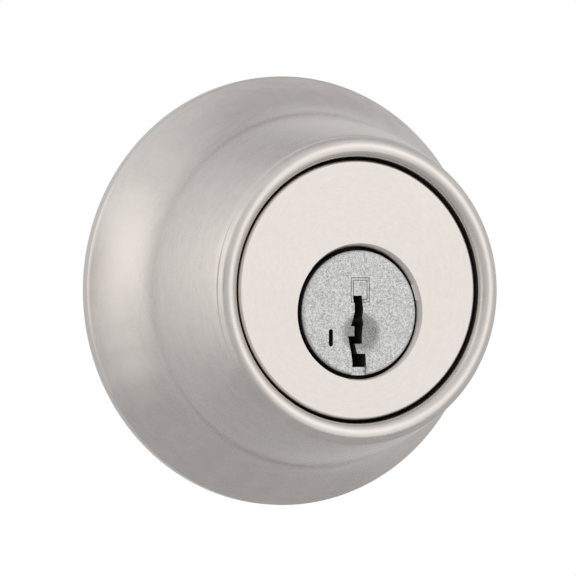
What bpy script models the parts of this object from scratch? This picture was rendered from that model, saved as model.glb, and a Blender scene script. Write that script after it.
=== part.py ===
"""Outside half of a keyed deadbolt lock, with a re-keyable plug and a free-spinning guard.

The origin is the centre of the cylinder on the door's face. The front of the lock faces -Y and the
door lies on the +Y side, with +Z up. "Height" below is the distance in front of the door's face, so a
height of h lies at y = -h, and a piece behind the face has a negative height.
"""

import math

import bmesh
import bpy

MM = 0.001
GAP = 0.3 * MM                      # running clearance between neighbouring pieces
OVERRUN = 2.0 * MM                  # how far a cutter runs past the face that it opens
FULL_TURN = 2.0 * math.pi

# Guard: the conical collar that spins freely round the core.
GUARD_RADIUS = 32.5 * MM
GUARD_EDGE = 2.0 * MM               # thickness of the straight edge at the door
GUARD_EDGE_CHAMFER = 0.25 * MM
GUARD_EDGE_TAPER = 0.1 * MM
GUARD_WALL = 1.3 * MM
GUARD_FLARE_SLOPE = math.radians(47.0)
GUARD_WAIST_FLARE = 3.88 * MM       # how much wider the waist is than the rim
GUARD_WAIST_HEIGHT = 12.5 * MM
GUARD_WAIST_SLOPE = math.radians(5.0)
GUARD_WAIST_ROUND = 2.5 * MM        # how far the waist's curve runs up into the neck
GUARD_NECK_SLOPE = math.radians(10.8)
GUARD_NECK_END_SLOPE = math.radians(18.0)
RIM_TUBE = 1.46 * MM                # radius of the rolled rim's section
RIM_DROP = 0.15 * MM                # how far the middle of the rim's section lies below the face
RIM_START = 14.0                    # where the rim's section leaves the neck, in degrees
RIM_GROOVE_DEPTH = 0.3 * MM
RIM_GROOVE_WIDTH = 0.2 * MM
GUARD_LIP_THICKNESS = 1.4 * MM
LINER_WALL = 1.2 * MM

# Core: the fixed cylinder body whose round face fills the rim.
FACE_SHOULDER = 2.2 * MM            # how far the head stands out past the barrel
FACE_GAP = 0.4 * MM                 # dark ring between the face and the rim
FACE_CHAMFER = 0.35 * MM
HEAD_THICKNESS = 3.9 * MM
CORE_BACK = -2.5 * MM
DISH_WIDTH = 0.75 * MM              # the broken edge of the plug's hole, at the face
DISH_DEPTH = 0.45 * MM

# Plug: the part that the key turns.
PLUG_DROP = 3.35 * MM               # the plug's axis lies this far below the core's
PLUG_RADIUS = 8.8 * MM
PLUG_HEAD_STEP = 0.4 * MM           # how much wider the head is than the plug
PLUG_HEAD_THICKNESS = 3.0 * MM
PLUG_PROUD = 0.5 * MM               # how far the plug's face stands out past the core's
PLUG_HEAD_GAP = 0.58 * MM           # dark ring round the plug's face
PLUG_HEAD_EDGE = 0.15 * MM
KEY_END = 2.75 * MM                 # how far the keyway runs past the last pin
PLUG_GROOVE_DEPTH = 2.2 * MM
PLUG_TAIL_STEP = 1.3 * MM
PLUG_TAIL_THICKNESS = 1.0 * MM
SPIGOT_RADIUS = 4.6 * MM
SPIGOT_LENGTH = 3.1 * MM
CLIP_THICKNESS = 0.7 * MM
CLIP_OPENING = 8.0 * MM

# Keyway outline, (across, up) from the plug's axis.
KEYWAY = [
    (0.39, 2.53), (0.46, 1.55), (0.59, 0.46), (0.54, -0.77), (0.78, -1.52), (0.69, -2.27),
    (0.60, -3.49), (0.54, -4.56), (-0.60, -4.56), (-0.44, -5.60), (-0.30, -6.01), (0.95, -6.01),
    (1.08, -7.99), (-1.10, -7.99), (-1.40, -5.54), (-1.67, -3.43), (-0.63, -3.43), (-0.63, -2.00),
    (-1.22, -1.93), (-0.92, -0.77), (-0.80, 0.18), (-0.80, 1.41), (-0.95, 1.55), (-0.95, 2.53),
]
KEYWAY_DISH_CENTRE = (0.18 * MM, -3.0 * MM)
KEYWAY_DISH_RADIUS = 3.2 * MM
KEYWAY_DISH_DEPTH = 0.5 * MM
TOOL_SLOT_CENTRE = (-4.64 * MM, -3.66 * MM)
TOOL_SLOT_WIDTH = 0.67 * MM
TOOL_SLOT_LENGTH = 2.55 * MM

# Key pins, their springs and the cover that closes their chambers.
PIN_COUNT = 5
PIN_PITCH = 3.8 * MM
FIRST_PIN_DEPTH = 8.15 * MM         # from the plug's face to the middle of the first pin
LAST_PIN_REACH = 7.5 * MM           # from the middle of the last pin to the core's back
PIN_ACROSS = -0.4 * MM
PIN_RADIUS = 1.25 * MM
PIN_BOTTOM = -0.7 * MM
PIN_LENGTH = 4.1 * MM
PIN_TIP_RADIUS = 0.7 * MM
PIN_TIP_LENGTH = 0.25 * MM
PIN_GROOVE_RADIUS = 0.75 * MM
TOOTH_THICKNESS = 0.35 * MM
TOOTH_PITCH = 1.25 * MM
FIRST_TOOTH = 0.1 * MM              # height of the lowest tooth above the plug's axis
TOOTH_COUNT = 3
SPRING_WIRE = 0.15 * MM
PIN_SPRING_RADIUS = 0.9 * MM
COVER_DEPTH = 1.1 * MM              # from the plug's outside to the cover's underside
COVER_THICKNESS = 0.6 * MM
COVER_WIDTH = 3.2 * MM

# Racks, the carriage that holds them and the sidebar, in the plug's side window.
POCKET_RIGHT = -1.15 * MM
POCKET_BOTTOM = -1.2 * MM
POCKET_TOP = 6.1 * MM
CARRIAGE_END_GAP = 0.7 * MM         # left behind the carriage when it is pushed right back
RACK_THICKNESS = 1.0 * MM
RACK_DEPTH = 4.0 * MM               # from the plug's outside to the racks' backs
RACK_HEIGHT = 4.5 * MM
RACK_DROP = 0.2 * MM                # how far the racks and their comb reach below the pins
CARRIAGE_RIGHT = -2.3 * MM
CARRIAGE_DEPTH = 2.6 * MM           # from the plug's outside to the rails' backs
CARRIAGE_TOP = 4.6 * MM
CARRIAGE_FINGER_END = 0.9 * MM      # thickness of the comb's two end fingers
CARRIAGE_FINGER_ROOT = 0.1 * MM     # how far each finger runs into the rails
CARRIAGE_FOOT_ROOT = 0.5 * MM
CARRIAGE_TRAVEL = 1.9 * MM
CARRIAGE_FOOT_WIDTH = 1.3 * MM
SIDEBAR_WIDTH = 2.8 * MM
SIDEBAR_BOTTOM = 0.7 * MM
SIDEBAR_THICKNESS = 1.6 * MM
SIDEBAR_GROOVE_DEPTH = 0.9 * MM
SIDEBAR_NOSE = 0.5 * MM
SIDEBAR_TRAVEL = 0.6 * MM
SIDEBAR_SPRING_RADIUS = 0.55 * MM
SIDEBAR_SPRING_UP = 1.2 * MM
SIDEBAR_SPRING_LENGTH = 2.4 * MM
SIDEBAR_END = 2.0 * MM              # how far the sidebar runs past each end of the rack window
SIDEBAR_SPRING_PLACE = 1.2 * MM     # from each end of the window to the spring's middle
CARRIAGE_SPRING_RADIUS = 0.8 * MM
CARRIAGE_SPRING_ACROSS = -3.7 * MM
CARRIAGE_SPRING_UP = 3.7 * MM
CARRIAGE_SPRING_LENGTH = 4.8 * MM

# Tail: the drive cup on the plug's spigot and the blade that turns the bolt.
CUP_RADIUS = 7.5 * MM
CUP_LENGTH = 7.5 * MM
CUP_WALL = 1.9 * MM
CUP_FRONT_WALL = 3.0 * MM
LUG_ANGLE = 40.0
LUG_RADIUS = 3.2 * MM
LUG_LENGTH = 3.2 * MM
WING_ANGLE = 44.0
HUB_RADIUS = 2.8 * MM
WING_THICKNESS = 2.6 * MM
BLADE_RADIUS = 3.1 * MM
BLADE_FLAT = 0.5 * MM
BLADE_END = -52.0 * MM
RETAINER_THICKNESS = 1.0 * MM
RETAINER_GAP = 0.45 * MM            # between the ring and the blade that turns in it
ROLL_PIN_RADIUS = 0.75 * MM
LOST_MOTION = 90.0

# Fastening: the stems that take the inside half's screws, and the ring that centres the lock.
STEM_WALL = 0.8 * MM                # metal between the plug's bore and a stem
STEM_COVER = 0.37 * MM              # metal outside a stem's socket
STEM_RADIUS = 3.0 * MM
STEM_SEAT = 8.0 * MM
STEM_END = -20.0 * MM
STEM_HOLE_RADIUS = 1.9 * MM
STEM_HOLE_DEPTH = 14.0 * MM
ADAPTER_MARGIN = 1.7 * MM           # between the adapter ring and the inside of the guard
ADAPTER_THICKNESS = 1.0 * MM
ADAPTER_LIP_STEP = 2.7 * MM         # how far the lip stands in from the ring's edge
ADAPTER_LIP_WALL = 1.2 * MM
ADAPTER_LIP_DEPTH = 3.0 * MM
DRILL_PIN_RADIUS = 0.9 * MM
DRILL_PIN_DEPTH = 8.25 * MM         # from the face to the pins' middle
DRILL_PIN_LENGTH = 21.0 * MM

LARGE_STEPS = 56
MEDIUM_STEPS = 32
SMALL_STEPS = 14

# Sizes that follow from the ones above.
BORE_RADIUS = PLUG_RADIUS + GAP
PLUG_HEAD_RADIUS = PLUG_RADIUS + PLUG_HEAD_STEP
PLUG_GROOVE_RADIUS = PLUG_RADIUS - PLUG_GROOVE_DEPTH
PLUG_TAIL_RADIUS = PLUG_RADIUS - PLUG_TAIL_STEP
SEAT_RADIUS = PLUG_HEAD_RADIUS + PLUG_HEAD_GAP
STEM_SPACING = 2 * (BORE_RADIUS + STEM_WALL + STEM_RADIUS)
BARREL_RADIUS = math.hypot(STEM_SPACING / 2, PLUG_DROP) + STEM_RADIUS + GAP + STEM_COVER
PIN_ROW = (PIN_COUNT - 1) * PIN_PITCH
PLUG_FACE = CORE_BACK + LAST_PIN_REACH + PIN_ROW + FIRST_PIN_DEPTH
FACE_HEIGHT = PLUG_FACE - PLUG_PROUD
KEY_DEPTH = FIRST_PIN_DEPTH + PIN_ROW + KEY_END
COVER_BOTTOM = PLUG_RADIUS - COVER_DEPTH
FIRST_PIN_HEIGHT = PLUG_FACE - FIRST_PIN_DEPTH
DRILL_PIN_HEIGHT = FACE_HEIGHT - DRILL_PIN_DEPTH
ADAPTER_RADIUS = GUARD_RADIUS - GUARD_WALL - ADAPTER_MARGIN
ADAPTER_LIP_RADIUS = ADAPTER_RADIUS - ADAPTER_LIP_STEP
RACK_BACK = RACK_DEPTH - PLUG_RADIUS
CARRIAGE_LEFT = CARRIAGE_DEPTH - PLUG_RADIUS
SIDEBAR_LEFT = GAP - PLUG_RADIUS
SIDEBAR_RIGHT = SIDEBAR_LEFT + SIDEBAR_WIDTH
FACE_RADIUS = BARREL_RADIUS + FACE_SHOULDER
RIM_INNER = FACE_RADIUS + FACE_GAP
RIM_CENTRE = RIM_INNER + RIM_TUBE
NECK_INSIDE = RIM_CENTRE + RIM_TUBE / 2
GUARD_WAIST_RADIUS = RIM_CENTRE + RIM_TUBE + GUARD_WAIST_FLARE
RIM_HEIGHT = FACE_HEIGHT - RIM_DROP
HEAD_BACK = FACE_HEIGHT - HEAD_THICKNESS
LIP_TOP = HEAD_BACK - GAP
LIP_BOTTOM = LIP_TOP - GUARD_LIP_THICKNESS
SLEEVE_RADIUS = BARREL_RADIUS + GAP
PLUG_BACK = CORE_BACK - GAP
GROOVE_BACK = PLUG_BACK - CLIP_THICKNESS - GAP
CLIP_RADIUS = STEM_SPACING / 2 - STEM_RADIUS - GAP
TAIL_BACK = GROOVE_BACK - PLUG_TAIL_THICKNESS
SPIGOT_END = TAIL_BACK - SPIGOT_LENGTH
CHAMBER_RADIUS = PIN_RADIUS + GAP
PIN_TOP = PIN_BOTTOM + PIN_LENGTH
LAST_PIN_HEIGHT = FIRST_PIN_HEIGHT - PIN_ROW
RACK_FRONT_FACE = FIRST_PIN_HEIGHT + RACK_THICKNESS / 2
RACK_BACK_FACE = LAST_PIN_HEIGHT - RACK_THICKNESS / 2
CARRIAGE_FRONT = RACK_FRONT_FACE + GAP + CARRIAGE_FINGER_END
CARRIAGE_BACK = RACK_BACK_FACE - GAP - CARRIAGE_FINGER_END
POCKET_FRONT = CARRIAGE_FRONT + GAP
POCKET_BACK = CARRIAGE_BACK - CARRIAGE_TRAVEL - CARRIAGE_END_GAP
CUP_FRONT = TAIL_BACK - GAP
CUP_BACK = CUP_FRONT - CUP_LENGTH
CUP_FLOOR = CUP_FRONT - CUP_FRONT_WALL
CUP_BORE = CUP_RADIUS - CUP_WALL
WING_FRONT = CUP_FLOOR - GAP
ROLL_PIN_HEIGHT = (CUP_FRONT + SPIGOT_END) / 2


# ---------------------------------------------------------------- shapes


def add_mesh_object(name, bm, parent=None):
    """An object from a bmesh, smooth where its faces meet at a small angle."""
    mesh = bpy.data.meshes.new(name)
    bm.to_mesh(mesh)
    bm.free()
    mesh.shade_smooth()
    mesh.set_sharp_from_angle(angle=math.radians(35))
    obj = bpy.data.objects.new(name, mesh)
    bpy.context.scene.collection.objects.link(obj)
    obj.parent = parent
    return obj


def turned(name, profile, steps=MEDIUM_STEPS, parent=None, at=(0.0, 0.0)):
    """A solid turned round the Y axis from a closed profile of (radius, height) points."""
    merge = 0.001 * MM
    bm = bmesh.new()
    verts = [bm.verts.new((radius, -height, 0.0)) for radius, height in profile]
    edges = [bm.edges.new((a, b)) for a, b in zip(verts, verts[1:] + verts[:1])]
    bmesh.ops.spin(bm, geom=verts + edges, cent=(0, 0, 0), axis=(0, 1, 0),
                   angle=FULL_TURN, steps=steps, use_merge=True)
    bmesh.ops.remove_doubles(bm, verts=bm.verts[:], dist=merge)
    bmesh.ops.dissolve_degenerate(bm, edges=bm.edges[:], dist=merge)
    bmesh.ops.recalc_face_normals(bm, faces=bm.faces[:])
    bmesh.ops.translate(bm, verts=bm.verts[:], vec=(at[0], 0.0, at[1]))
    return add_mesh_object(name, bm, parent)


def rod(name, radius, back, front, steps=SMALL_STEPS, parent=None, at=(0.0, 0.0)):
    """A round bar along Y between two heights."""
    profile = [(0.0, front), (radius, front), (radius, back), (0.0, back)]
    return turned(name, profile, steps, parent, at)


def extruded(name, outline, back, front, parent=None):
    """A solid with a flat outline of (across, up) points, running along Y between two heights."""
    bm = bmesh.new()
    face = bm.faces.new([bm.verts.new((x, -back, z)) for x, z in outline])
    grown = bmesh.ops.extrude_face_region(bm, geom=[face])
    verts = [item for item in grown["geom"] if isinstance(item, bmesh.types.BMVert)]
    bmesh.ops.translate(bm, verts=verts, vec=(0.0, back - front, 0.0))
    bmesh.ops.recalc_face_normals(bm, faces=bm.faces[:])
    return add_mesh_object(name, bm, parent)


def block(name, left, right, bottom, top, back, front, parent=None):
    """A box between two places across, two up and two heights."""
    corners = [(left, bottom), (right, bottom), (right, top), (left, top)]
    return extruded(name, corners, back, front, parent)


def upright_rod(name, radius, bottom, top, height, across, steps=SMALL_STEPS, parent=None):
    """A round bar along Z at one height and one place across."""
    bm = bmesh.new()
    bmesh.ops.create_cone(bm, cap_ends=True, segments=steps, radius1=radius, radius2=radius,
                          depth=top - bottom)
    bmesh.ops.translate(bm, verts=bm.verts[:], vec=(across, -height, (bottom + top) / 2))
    return add_mesh_object(name, bm, parent)


def cross_rod(name, radius, left, right, height, up, parent):
    """A round bar along X between two places across."""
    bm = bmesh.new()
    bmesh.ops.create_cone(bm, cap_ends=True, segments=SMALL_STEPS, radius1=radius, radius2=radius,
                          depth=right - left)
    middle = (left + right) / 2
    for vert in bm.verts:
        vert.co = (middle + vert.co.z, vert.co.y - height, up - vert.co.x)
    return add_mesh_object(name, bm, parent)


def arc(centre, radius, start, end, steps):
    """Points along an arc between two angles, in degrees."""
    angles = [math.radians(start + (end - start) * i / steps) for i in range(steps + 1)]
    return [(centre[0] + radius * math.cos(a), centre[1] + radius * math.sin(a)) for a in angles]


def bend(start, start_angle, end, end_angle, steps):
    """A smooth curve of (radius, height) points that leaves start and reaches end at two slopes.

    A slope is the angle, in radians, by which the surface leans in from the axis going forward.
    """
    reach = math.dist(start, end) / 3
    first = (start[0] - reach * math.sin(start_angle), start[1] + reach * math.cos(start_angle))
    last = (end[0] + reach * math.sin(end_angle), end[1] - reach * math.cos(end_angle))
    points = []
    for i in range(steps + 1):
        t = i / steps
        weights = ((1 - t) ** 3, 3 * t * (1 - t) ** 2, 3 * t * t * (1 - t), t ** 3)
        points.append(tuple(sum(w * p[k] for w, p in zip(weights, (start, first, last, end)))
                            for k in (0, 1)))
    return points


def combine(obj, tool, operation):
    """Cuts a tool from an object, or joins it on, and hides the tool from the finished model."""
    tool.hide_render = True
    tool.display_type = "WIRE"
    boolean = obj.modifiers.new(f"{operation.lower()} {tool.name}", "BOOLEAN")
    boolean.operation = operation
    boolean.object = tool
    boolean.solver = "EXACT"


def cut(obj, *tools):
    for tool in tools:
        combine(obj, tool, "DIFFERENCE")


def join(obj, *tools):
    for tool in tools:
        combine(obj, tool, "UNION")


def coil(name, radius, start, axis, length, turns, parent=None):
    """A compression spring of round wire, wound round an axis from its start point."""
    steps = 9
    curve = bpy.data.curves.new(name, "CURVE")
    curve.dimensions = "3D"
    curve.bevel_depth = SPRING_WIRE
    curve.bevel_resolution = 1
    curve.use_fill_caps = True
    spline = curve.splines.new("POLY")
    count = turns * steps + 1
    spline.points.add(count - 1)
    side = {"X": (1, 2, 0), "Y": (2, 0, 1), "Z": (0, 1, 2)}[axis]
    for i, point in enumerate(spline.points):
        angle = FULL_TURN * i / steps
        place = [0.0, 0.0, 0.0]
        place[side[0]] = radius * math.cos(angle)
        place[side[1]] = radius * math.sin(angle)
        place[side[2]] = length * i / (count - 1)
        point.co = (*(s + p for s, p in zip(start, place)), 1.0)
    obj = bpy.data.objects.new(name, curve)
    bpy.context.scene.collection.objects.link(obj)
    obj.parent = parent
    return obj


def finish(obj, colour, roughness, metallic=1.0):
    """Gives a piece its own plain material."""
    material = bpy.data.materials.new(f"{obj.name} finish")
    material.use_nodes = True
    shader = material.node_tree.nodes["Principled BSDF"]
    shader.inputs["Base Color"].default_value = (*colour, 1.0)
    shader.inputs["Roughness"].default_value = roughness
    shader.inputs["Metallic"].default_value = metallic
    obj.data.materials.append(material)
    return obj


def set_origin(obj, place):
    """Moves an object's origin to a place in its parent's frame, leaving its shape where it is."""
    if obj.type == "MESH":
        for vert in obj.data.vertices:
            vert.co = [c - p for c, p in zip(vert.co, place)]
    obj.location = place


def axis_empty(name, place):
    empty = bpy.data.objects.new(name, None)
    bpy.context.scene.collection.objects.link(empty)
    empty.location = place
    return empty


SATIN_NICKEL = (0.60, 0.56, 0.52)
CAST_ZINC = (0.60, 0.60, 0.59)
PLATED_STEEL = (0.56, 0.56, 0.55)
HARD_STEEL = (0.36, 0.36, 0.37)
SPRING_STEEL = (0.50, 0.49, 0.47)
BRASS = (0.72, 0.55, 0.28)
LINER_PLASTIC = (0.09, 0.09, 0.10)


# ---------------------------------------------------------------- guard


def guard_neck():
    """The neck's outside from the waist to the groove at the rim, as (radius, height) points."""
    waist = (GUARD_WAIST_RADIUS, GUARD_WAIST_HEIGHT)
    turn = (GUARD_WAIST_SLOPE + GUARD_NECK_SLOPE) / 2
    neck = (waist[0] - GUARD_WAIST_ROUND * math.tan(turn), waist[1] + GUARD_WAIST_ROUND)
    groove = rim_section(RIM_START, RIM_START, 1)[0]
    end = (groove[0] + RIM_GROOVE_DEPTH, groove[1] - RIM_GROOVE_WIDTH)
    points = bend(waist, GUARD_WAIST_SLOPE, neck, GUARD_NECK_SLOPE, 2)
    return points + bend(neck, GUARD_NECK_SLOPE, end, GUARD_NECK_END_SLOPE, 4)[1:]


def rim_section(start, end, steps):
    return arc((RIM_CENTRE, RIM_HEIGHT), RIM_TUBE, start, end, steps)


def guard_outside():
    """The guard's outside from the door's face to the crown of its rim, as (radius, height) points."""
    edge_top = (GUARD_RADIUS - GUARD_EDGE_TAPER, GUARD_EDGE)
    waist = (GUARD_WAIST_RADIUS, GUARD_WAIST_HEIGHT)
    points = [(GUARD_RADIUS - GUARD_EDGE_CHAMFER, 0.0), (GUARD_RADIUS, GUARD_EDGE_CHAMFER)]
    points += bend(edge_top, GUARD_FLARE_SLOPE, waist, GUARD_WAIST_SLOPE, 7)
    points += guard_neck()[1:]
    return points + rim_section(RIM_START, 90, 4)


def guard_inside():
    """The guard's inside from the crown of its rim back to the door's face."""
    rim = rim_section(90, 180, 4)[1:]
    waist = (GUARD_WAIST_RADIUS - GUARD_WALL, GUARD_WAIST_HEIGHT)
    edge = (GUARD_RADIUS - GUARD_WALL, GUARD_EDGE / 2)
    flare = bend(edge, GUARD_FLARE_SLOPE, waist, GUARD_WAIST_SLOPE, 5)
    points = rim + [(RIM_INNER, LIP_TOP), (SLEEVE_RADIUS + GAP, LIP_TOP)]
    points += [(SLEEVE_RADIUS + GAP, LIP_BOTTOM), (NECK_INSIDE, LIP_BOTTOM)]
    return points + flare[::-1] + [(GUARD_RADIUS - GUARD_WALL, 0.0)]


def make_guard(axis):
    shell = turned("guard_shell", guard_outside() + guard_inside(), LARGE_STEPS, axis)
    finish(shell, SATIN_NICKEL, 0.32)
    inner = SLEEVE_RADIUS + GAP
    outer = inner + LINER_WALL
    flange = NECK_INSIDE - GAP
    top = LIP_BOTTOM - GAP
    bottom = ADAPTER_THICKNESS + GAP
    profile = [
        (inner, top), (flange, top), (flange, top - LINER_WALL), (outer, top - LINER_WALL),
        (outer, bottom), (inner, bottom),
    ]
    liner = turned("guard_liner", profile, 40, axis)
    finish(liner, LINER_PLASTIC, 0.5, 0.0)


# ---------------------------------------------------------------- core and fastening


def stem_places():
    return (("left", -STEM_SPACING / 2), ("right", STEM_SPACING / 2))


def make_core():
    profile = [
        (0.0, FACE_HEIGHT), (FACE_RADIUS - FACE_CHAMFER, FACE_HEIGHT),
        (FACE_RADIUS, FACE_HEIGHT - FACE_CHAMFER), (FACE_RADIUS, HEAD_BACK),
        (BARREL_RADIUS, HEAD_BACK), (BARREL_RADIUS, CORE_BACK), (0.0, CORE_BACK),
    ]
    core = turned("cylinder_body", profile, LARGE_STEPS)
    seat_floor = PLUG_FACE - PLUG_HEAD_THICKNESS - GAP
    dish_top = SEAT_RADIUS + DISH_WIDTH * (1 + OVERRUN / DISH_DEPTH)
    bore = [
        (0.0, FACE_HEIGHT + OVERRUN), (dish_top, FACE_HEIGHT + OVERRUN),
        (SEAT_RADIUS, FACE_HEIGHT - DISH_DEPTH), (SEAT_RADIUS, seat_floor), (BORE_RADIUS, seat_floor),
        (BORE_RADIUS, CORE_BACK - OVERRUN), (0.0, CORE_BACK - OVERRUN),
    ]
    cut(core, turned("plug bore", bore, MEDIUM_STEPS, at=(0.0, -PLUG_DROP)))
    for side, across in stem_places():
        cut(core, rod(f"stem socket {side}", STEM_RADIUS + GAP, CORE_BACK - OVERRUN,
                      CORE_BACK + STEM_SEAT + GAP, 20, at=(across, -PLUG_DROP)))
    for side, across in drill_pin_places():
        cut(core, upright_rod(f"drill pin hole {side}", DRILL_PIN_RADIUS + GAP,
                              -DRILL_PIN_LENGTH / 2 - GAP, BARREL_RADIUS, DRILL_PIN_HEIGHT, across))
    sidebar_back, sidebar_front = sidebar_span()
    cut(core, block("sidebar groove", -BORE_RADIUS - SIDEBAR_GROOVE_DEPTH, -BORE_RADIUS + OVERRUN,
                    SIDEBAR_BOTTOM - GAP - PLUG_DROP,
                    SIDEBAR_BOTTOM + SIDEBAR_THICKNESS + GAP - PLUG_DROP,
                    sidebar_back - GAP, sidebar_front + GAP))
    finish(core, SATIN_NICKEL, 0.30)


def drill_pin_places():
    across = BORE_RADIUS + DRILL_PIN_RADIUS + 2 * GAP
    return (("left", -across), ("right", across))


def make_drill_pins():
    for side, across in drill_pin_places():
        pin = upright_rod(f"anti_drill_pin_{side}", DRILL_PIN_RADIUS, -DRILL_PIN_LENGTH / 2,
                          DRILL_PIN_LENGTH / 2, DRILL_PIN_HEIGHT, across)
        finish(pin, HARD_STEEL, 0.35)


def make_stems():
    for side, across in stem_places():
        profile = [
            (0.0, CORE_BACK + STEM_SEAT), (STEM_RADIUS, CORE_BACK + STEM_SEAT),
            (STEM_RADIUS, STEM_END), (STEM_HOLE_RADIUS, STEM_END),
            (STEM_HOLE_RADIUS, STEM_END + STEM_HOLE_DEPTH), (0.0, STEM_END + STEM_HOLE_DEPTH),
        ]
        stem = turned(f"mounting_stem_{side}", profile, 20, at=(across, -PLUG_DROP))
        finish(stem, PLATED_STEEL, 0.4)


def make_adapter_ring():
    lip_inner = ADAPTER_LIP_RADIUS - ADAPTER_LIP_WALL
    profile = [
        (SLEEVE_RADIUS, ADAPTER_THICKNESS), (ADAPTER_RADIUS, ADAPTER_THICKNESS),
        (ADAPTER_RADIUS, 0.0), (ADAPTER_LIP_RADIUS, 0.0), (ADAPTER_LIP_RADIUS, -ADAPTER_LIP_DEPTH),
        (lip_inner, -ADAPTER_LIP_DEPTH), (lip_inner, 0.0), (SLEEVE_RADIUS, 0.0),
    ]
    finish(turned("adapter_ring", profile, LARGE_STEPS), PLATED_STEEL, 0.45)


# ---------------------------------------------------------------- plug


def pin_heights():
    return [FIRST_PIN_HEIGHT - i * PIN_PITCH for i in range(PIN_COUNT)]


def sidebar_span():
    return POCKET_BACK - SIDEBAR_END, POCKET_FRONT + SIDEBAR_END


def sidebar_spring_places():
    return (("rear", POCKET_BACK - SIDEBAR_SPRING_PLACE), ("front", POCKET_FRONT + SIDEBAR_SPRING_PLACE))


def cross_hole(name, axis):
    """The hole for the roll pin, through the drive cup and the spigot."""
    reach = CUP_RADIUS + OVERRUN
    return cross_rod(name, ROLL_PIN_RADIUS + GAP, -reach, reach, ROLL_PIN_HEIGHT, 0.0, axis)


def tool_slot_outline():
    """The narrow slot for the re-keying tool, with round ends."""
    x, z = TOOL_SLOT_CENTRE
    half = TOOL_SLOT_WIDTH / 2
    reach = TOOL_SLOT_LENGTH / 2 - half
    return arc((x, z + reach), half, 0, 180, 4) + arc((x, z - reach), half, 180, 360, 4)


def keyway_outline():
    return [(x * MM, z * MM) for x, z in KEYWAY]


def make_plug(axis):
    head_back = PLUG_FACE - PLUG_HEAD_THICKNESS
    profile = [
        (0.0, PLUG_FACE), (PLUG_HEAD_RADIUS - PLUG_HEAD_EDGE, PLUG_FACE),
        (PLUG_HEAD_RADIUS, PLUG_FACE - PLUG_HEAD_EDGE), (PLUG_HEAD_RADIUS, head_back),
        (PLUG_RADIUS, head_back), (PLUG_RADIUS, PLUG_BACK), (PLUG_GROOVE_RADIUS, PLUG_BACK),
        (PLUG_GROOVE_RADIUS, GROOVE_BACK), (PLUG_TAIL_RADIUS, GROOVE_BACK),
        (PLUG_TAIL_RADIUS, TAIL_BACK), (SPIGOT_RADIUS, TAIL_BACK), (SPIGOT_RADIUS, SPIGOT_END),
        (0.0, SPIGOT_END),
    ]
    plug = turned("plug", profile, MEDIUM_STEPS, axis)
    dish = [
        (0.0, PLUG_FACE + OVERRUN), (KEYWAY_DISH_RADIUS + OVERRUN, PLUG_FACE + OVERRUN),
        (KEYWAY_DISH_RADIUS - KEYWAY_DISH_DEPTH, PLUG_FACE - KEYWAY_DISH_DEPTH),
        (0.0, PLUG_FACE - KEYWAY_DISH_DEPTH),
    ]
    cut(plug, turned("keyway dish", dish, 24, axis, KEYWAY_DISH_CENTRE))
    cut(plug, extruded("keyway", keyway_outline(), PLUG_FACE - KEY_DEPTH, PLUG_FACE + OVERRUN, axis))
    cut(plug, extruded("tool slot", tool_slot_outline(), POCKET_FRONT - GAP, PLUG_FACE + OVERRUN, axis))
    cut(plug, block("rack window", -PLUG_RADIUS - OVERRUN, POCKET_RIGHT, POCKET_BOTTOM, POCKET_TOP,
                    POCKET_BACK, POCKET_FRONT, axis))
    foot_left, foot_right, foot_bottom = carriage_foot()
    cut(plug, block("foot pocket", foot_left - GAP, foot_right + GAP, foot_bottom - GAP,
                    POCKET_BOTTOM + OVERRUN,
                    CARRIAGE_FRONT - CARRIAGE_FINGER_END - CARRIAGE_TRAVEL - GAP, POCKET_FRONT, axis))
    for number, height in enumerate(pin_heights(), 1):
        cut(plug, upright_rod(f"pin chamber {number}", CHAMBER_RADIUS, PIN_BOTTOM - GAP,
                              COVER_BOTTOM + GAP, height, PIN_ACROSS, parent=axis))
    cover = cover_span()
    cut(plug, block("cover slot", cover[0] - GAP, cover[1] + GAP, COVER_BOTTOM - GAP,
                    PLUG_RADIUS + OVERRUN, cover[2] - GAP, cover[3] + GAP, axis))
    spring_front = POCKET_BACK + OVERRUN
    spring_back = CARRIAGE_BACK - CARRIAGE_SPRING_LENGTH - 2 * GAP
    cut(plug, rod("carriage spring hole", CARRIAGE_SPRING_RADIUS + SPRING_WIRE + GAP, spring_back,
                  spring_front, SMALL_STEPS, axis, (CARRIAGE_SPRING_ACROSS, CARRIAGE_SPRING_UP)))
    cut(plug, cross_hole("roll pin hole in spigot", axis))
    sidebar_back, sidebar_front = sidebar_span()
    slot_right = SIDEBAR_RIGHT + SIDEBAR_TRAVEL + GAP
    cut(plug, block("sidebar slot", -PLUG_RADIUS - OVERRUN, slot_right, SIDEBAR_BOTTOM - GAP,
                    SIDEBAR_BOTTOM + SIDEBAR_THICKNESS + GAP, sidebar_back - GAP,
                    sidebar_front + GAP, axis))
    hole_end = SIDEBAR_RIGHT + SIDEBAR_SPRING_LENGTH + 2 * GAP
    for end, height in sidebar_spring_places():
        cut(plug, cross_rod(f"{end} sidebar spring hole", SIDEBAR_SPRING_RADIUS + SPRING_WIRE + GAP,
                            slot_right - GAP, hole_end, height, SIDEBAR_SPRING_UP, axis))
    finish(plug, CAST_ZINC, 0.55)


def cover_span():
    """The spring cover's left, right, back and front."""
    end = CHAMBER_RADIUS + GAP
    return (PIN_ACROSS - COVER_WIDTH / 2, PIN_ACROSS + COVER_WIDTH / 2,
            LAST_PIN_HEIGHT - end, FIRST_PIN_HEIGHT + end)


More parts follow.
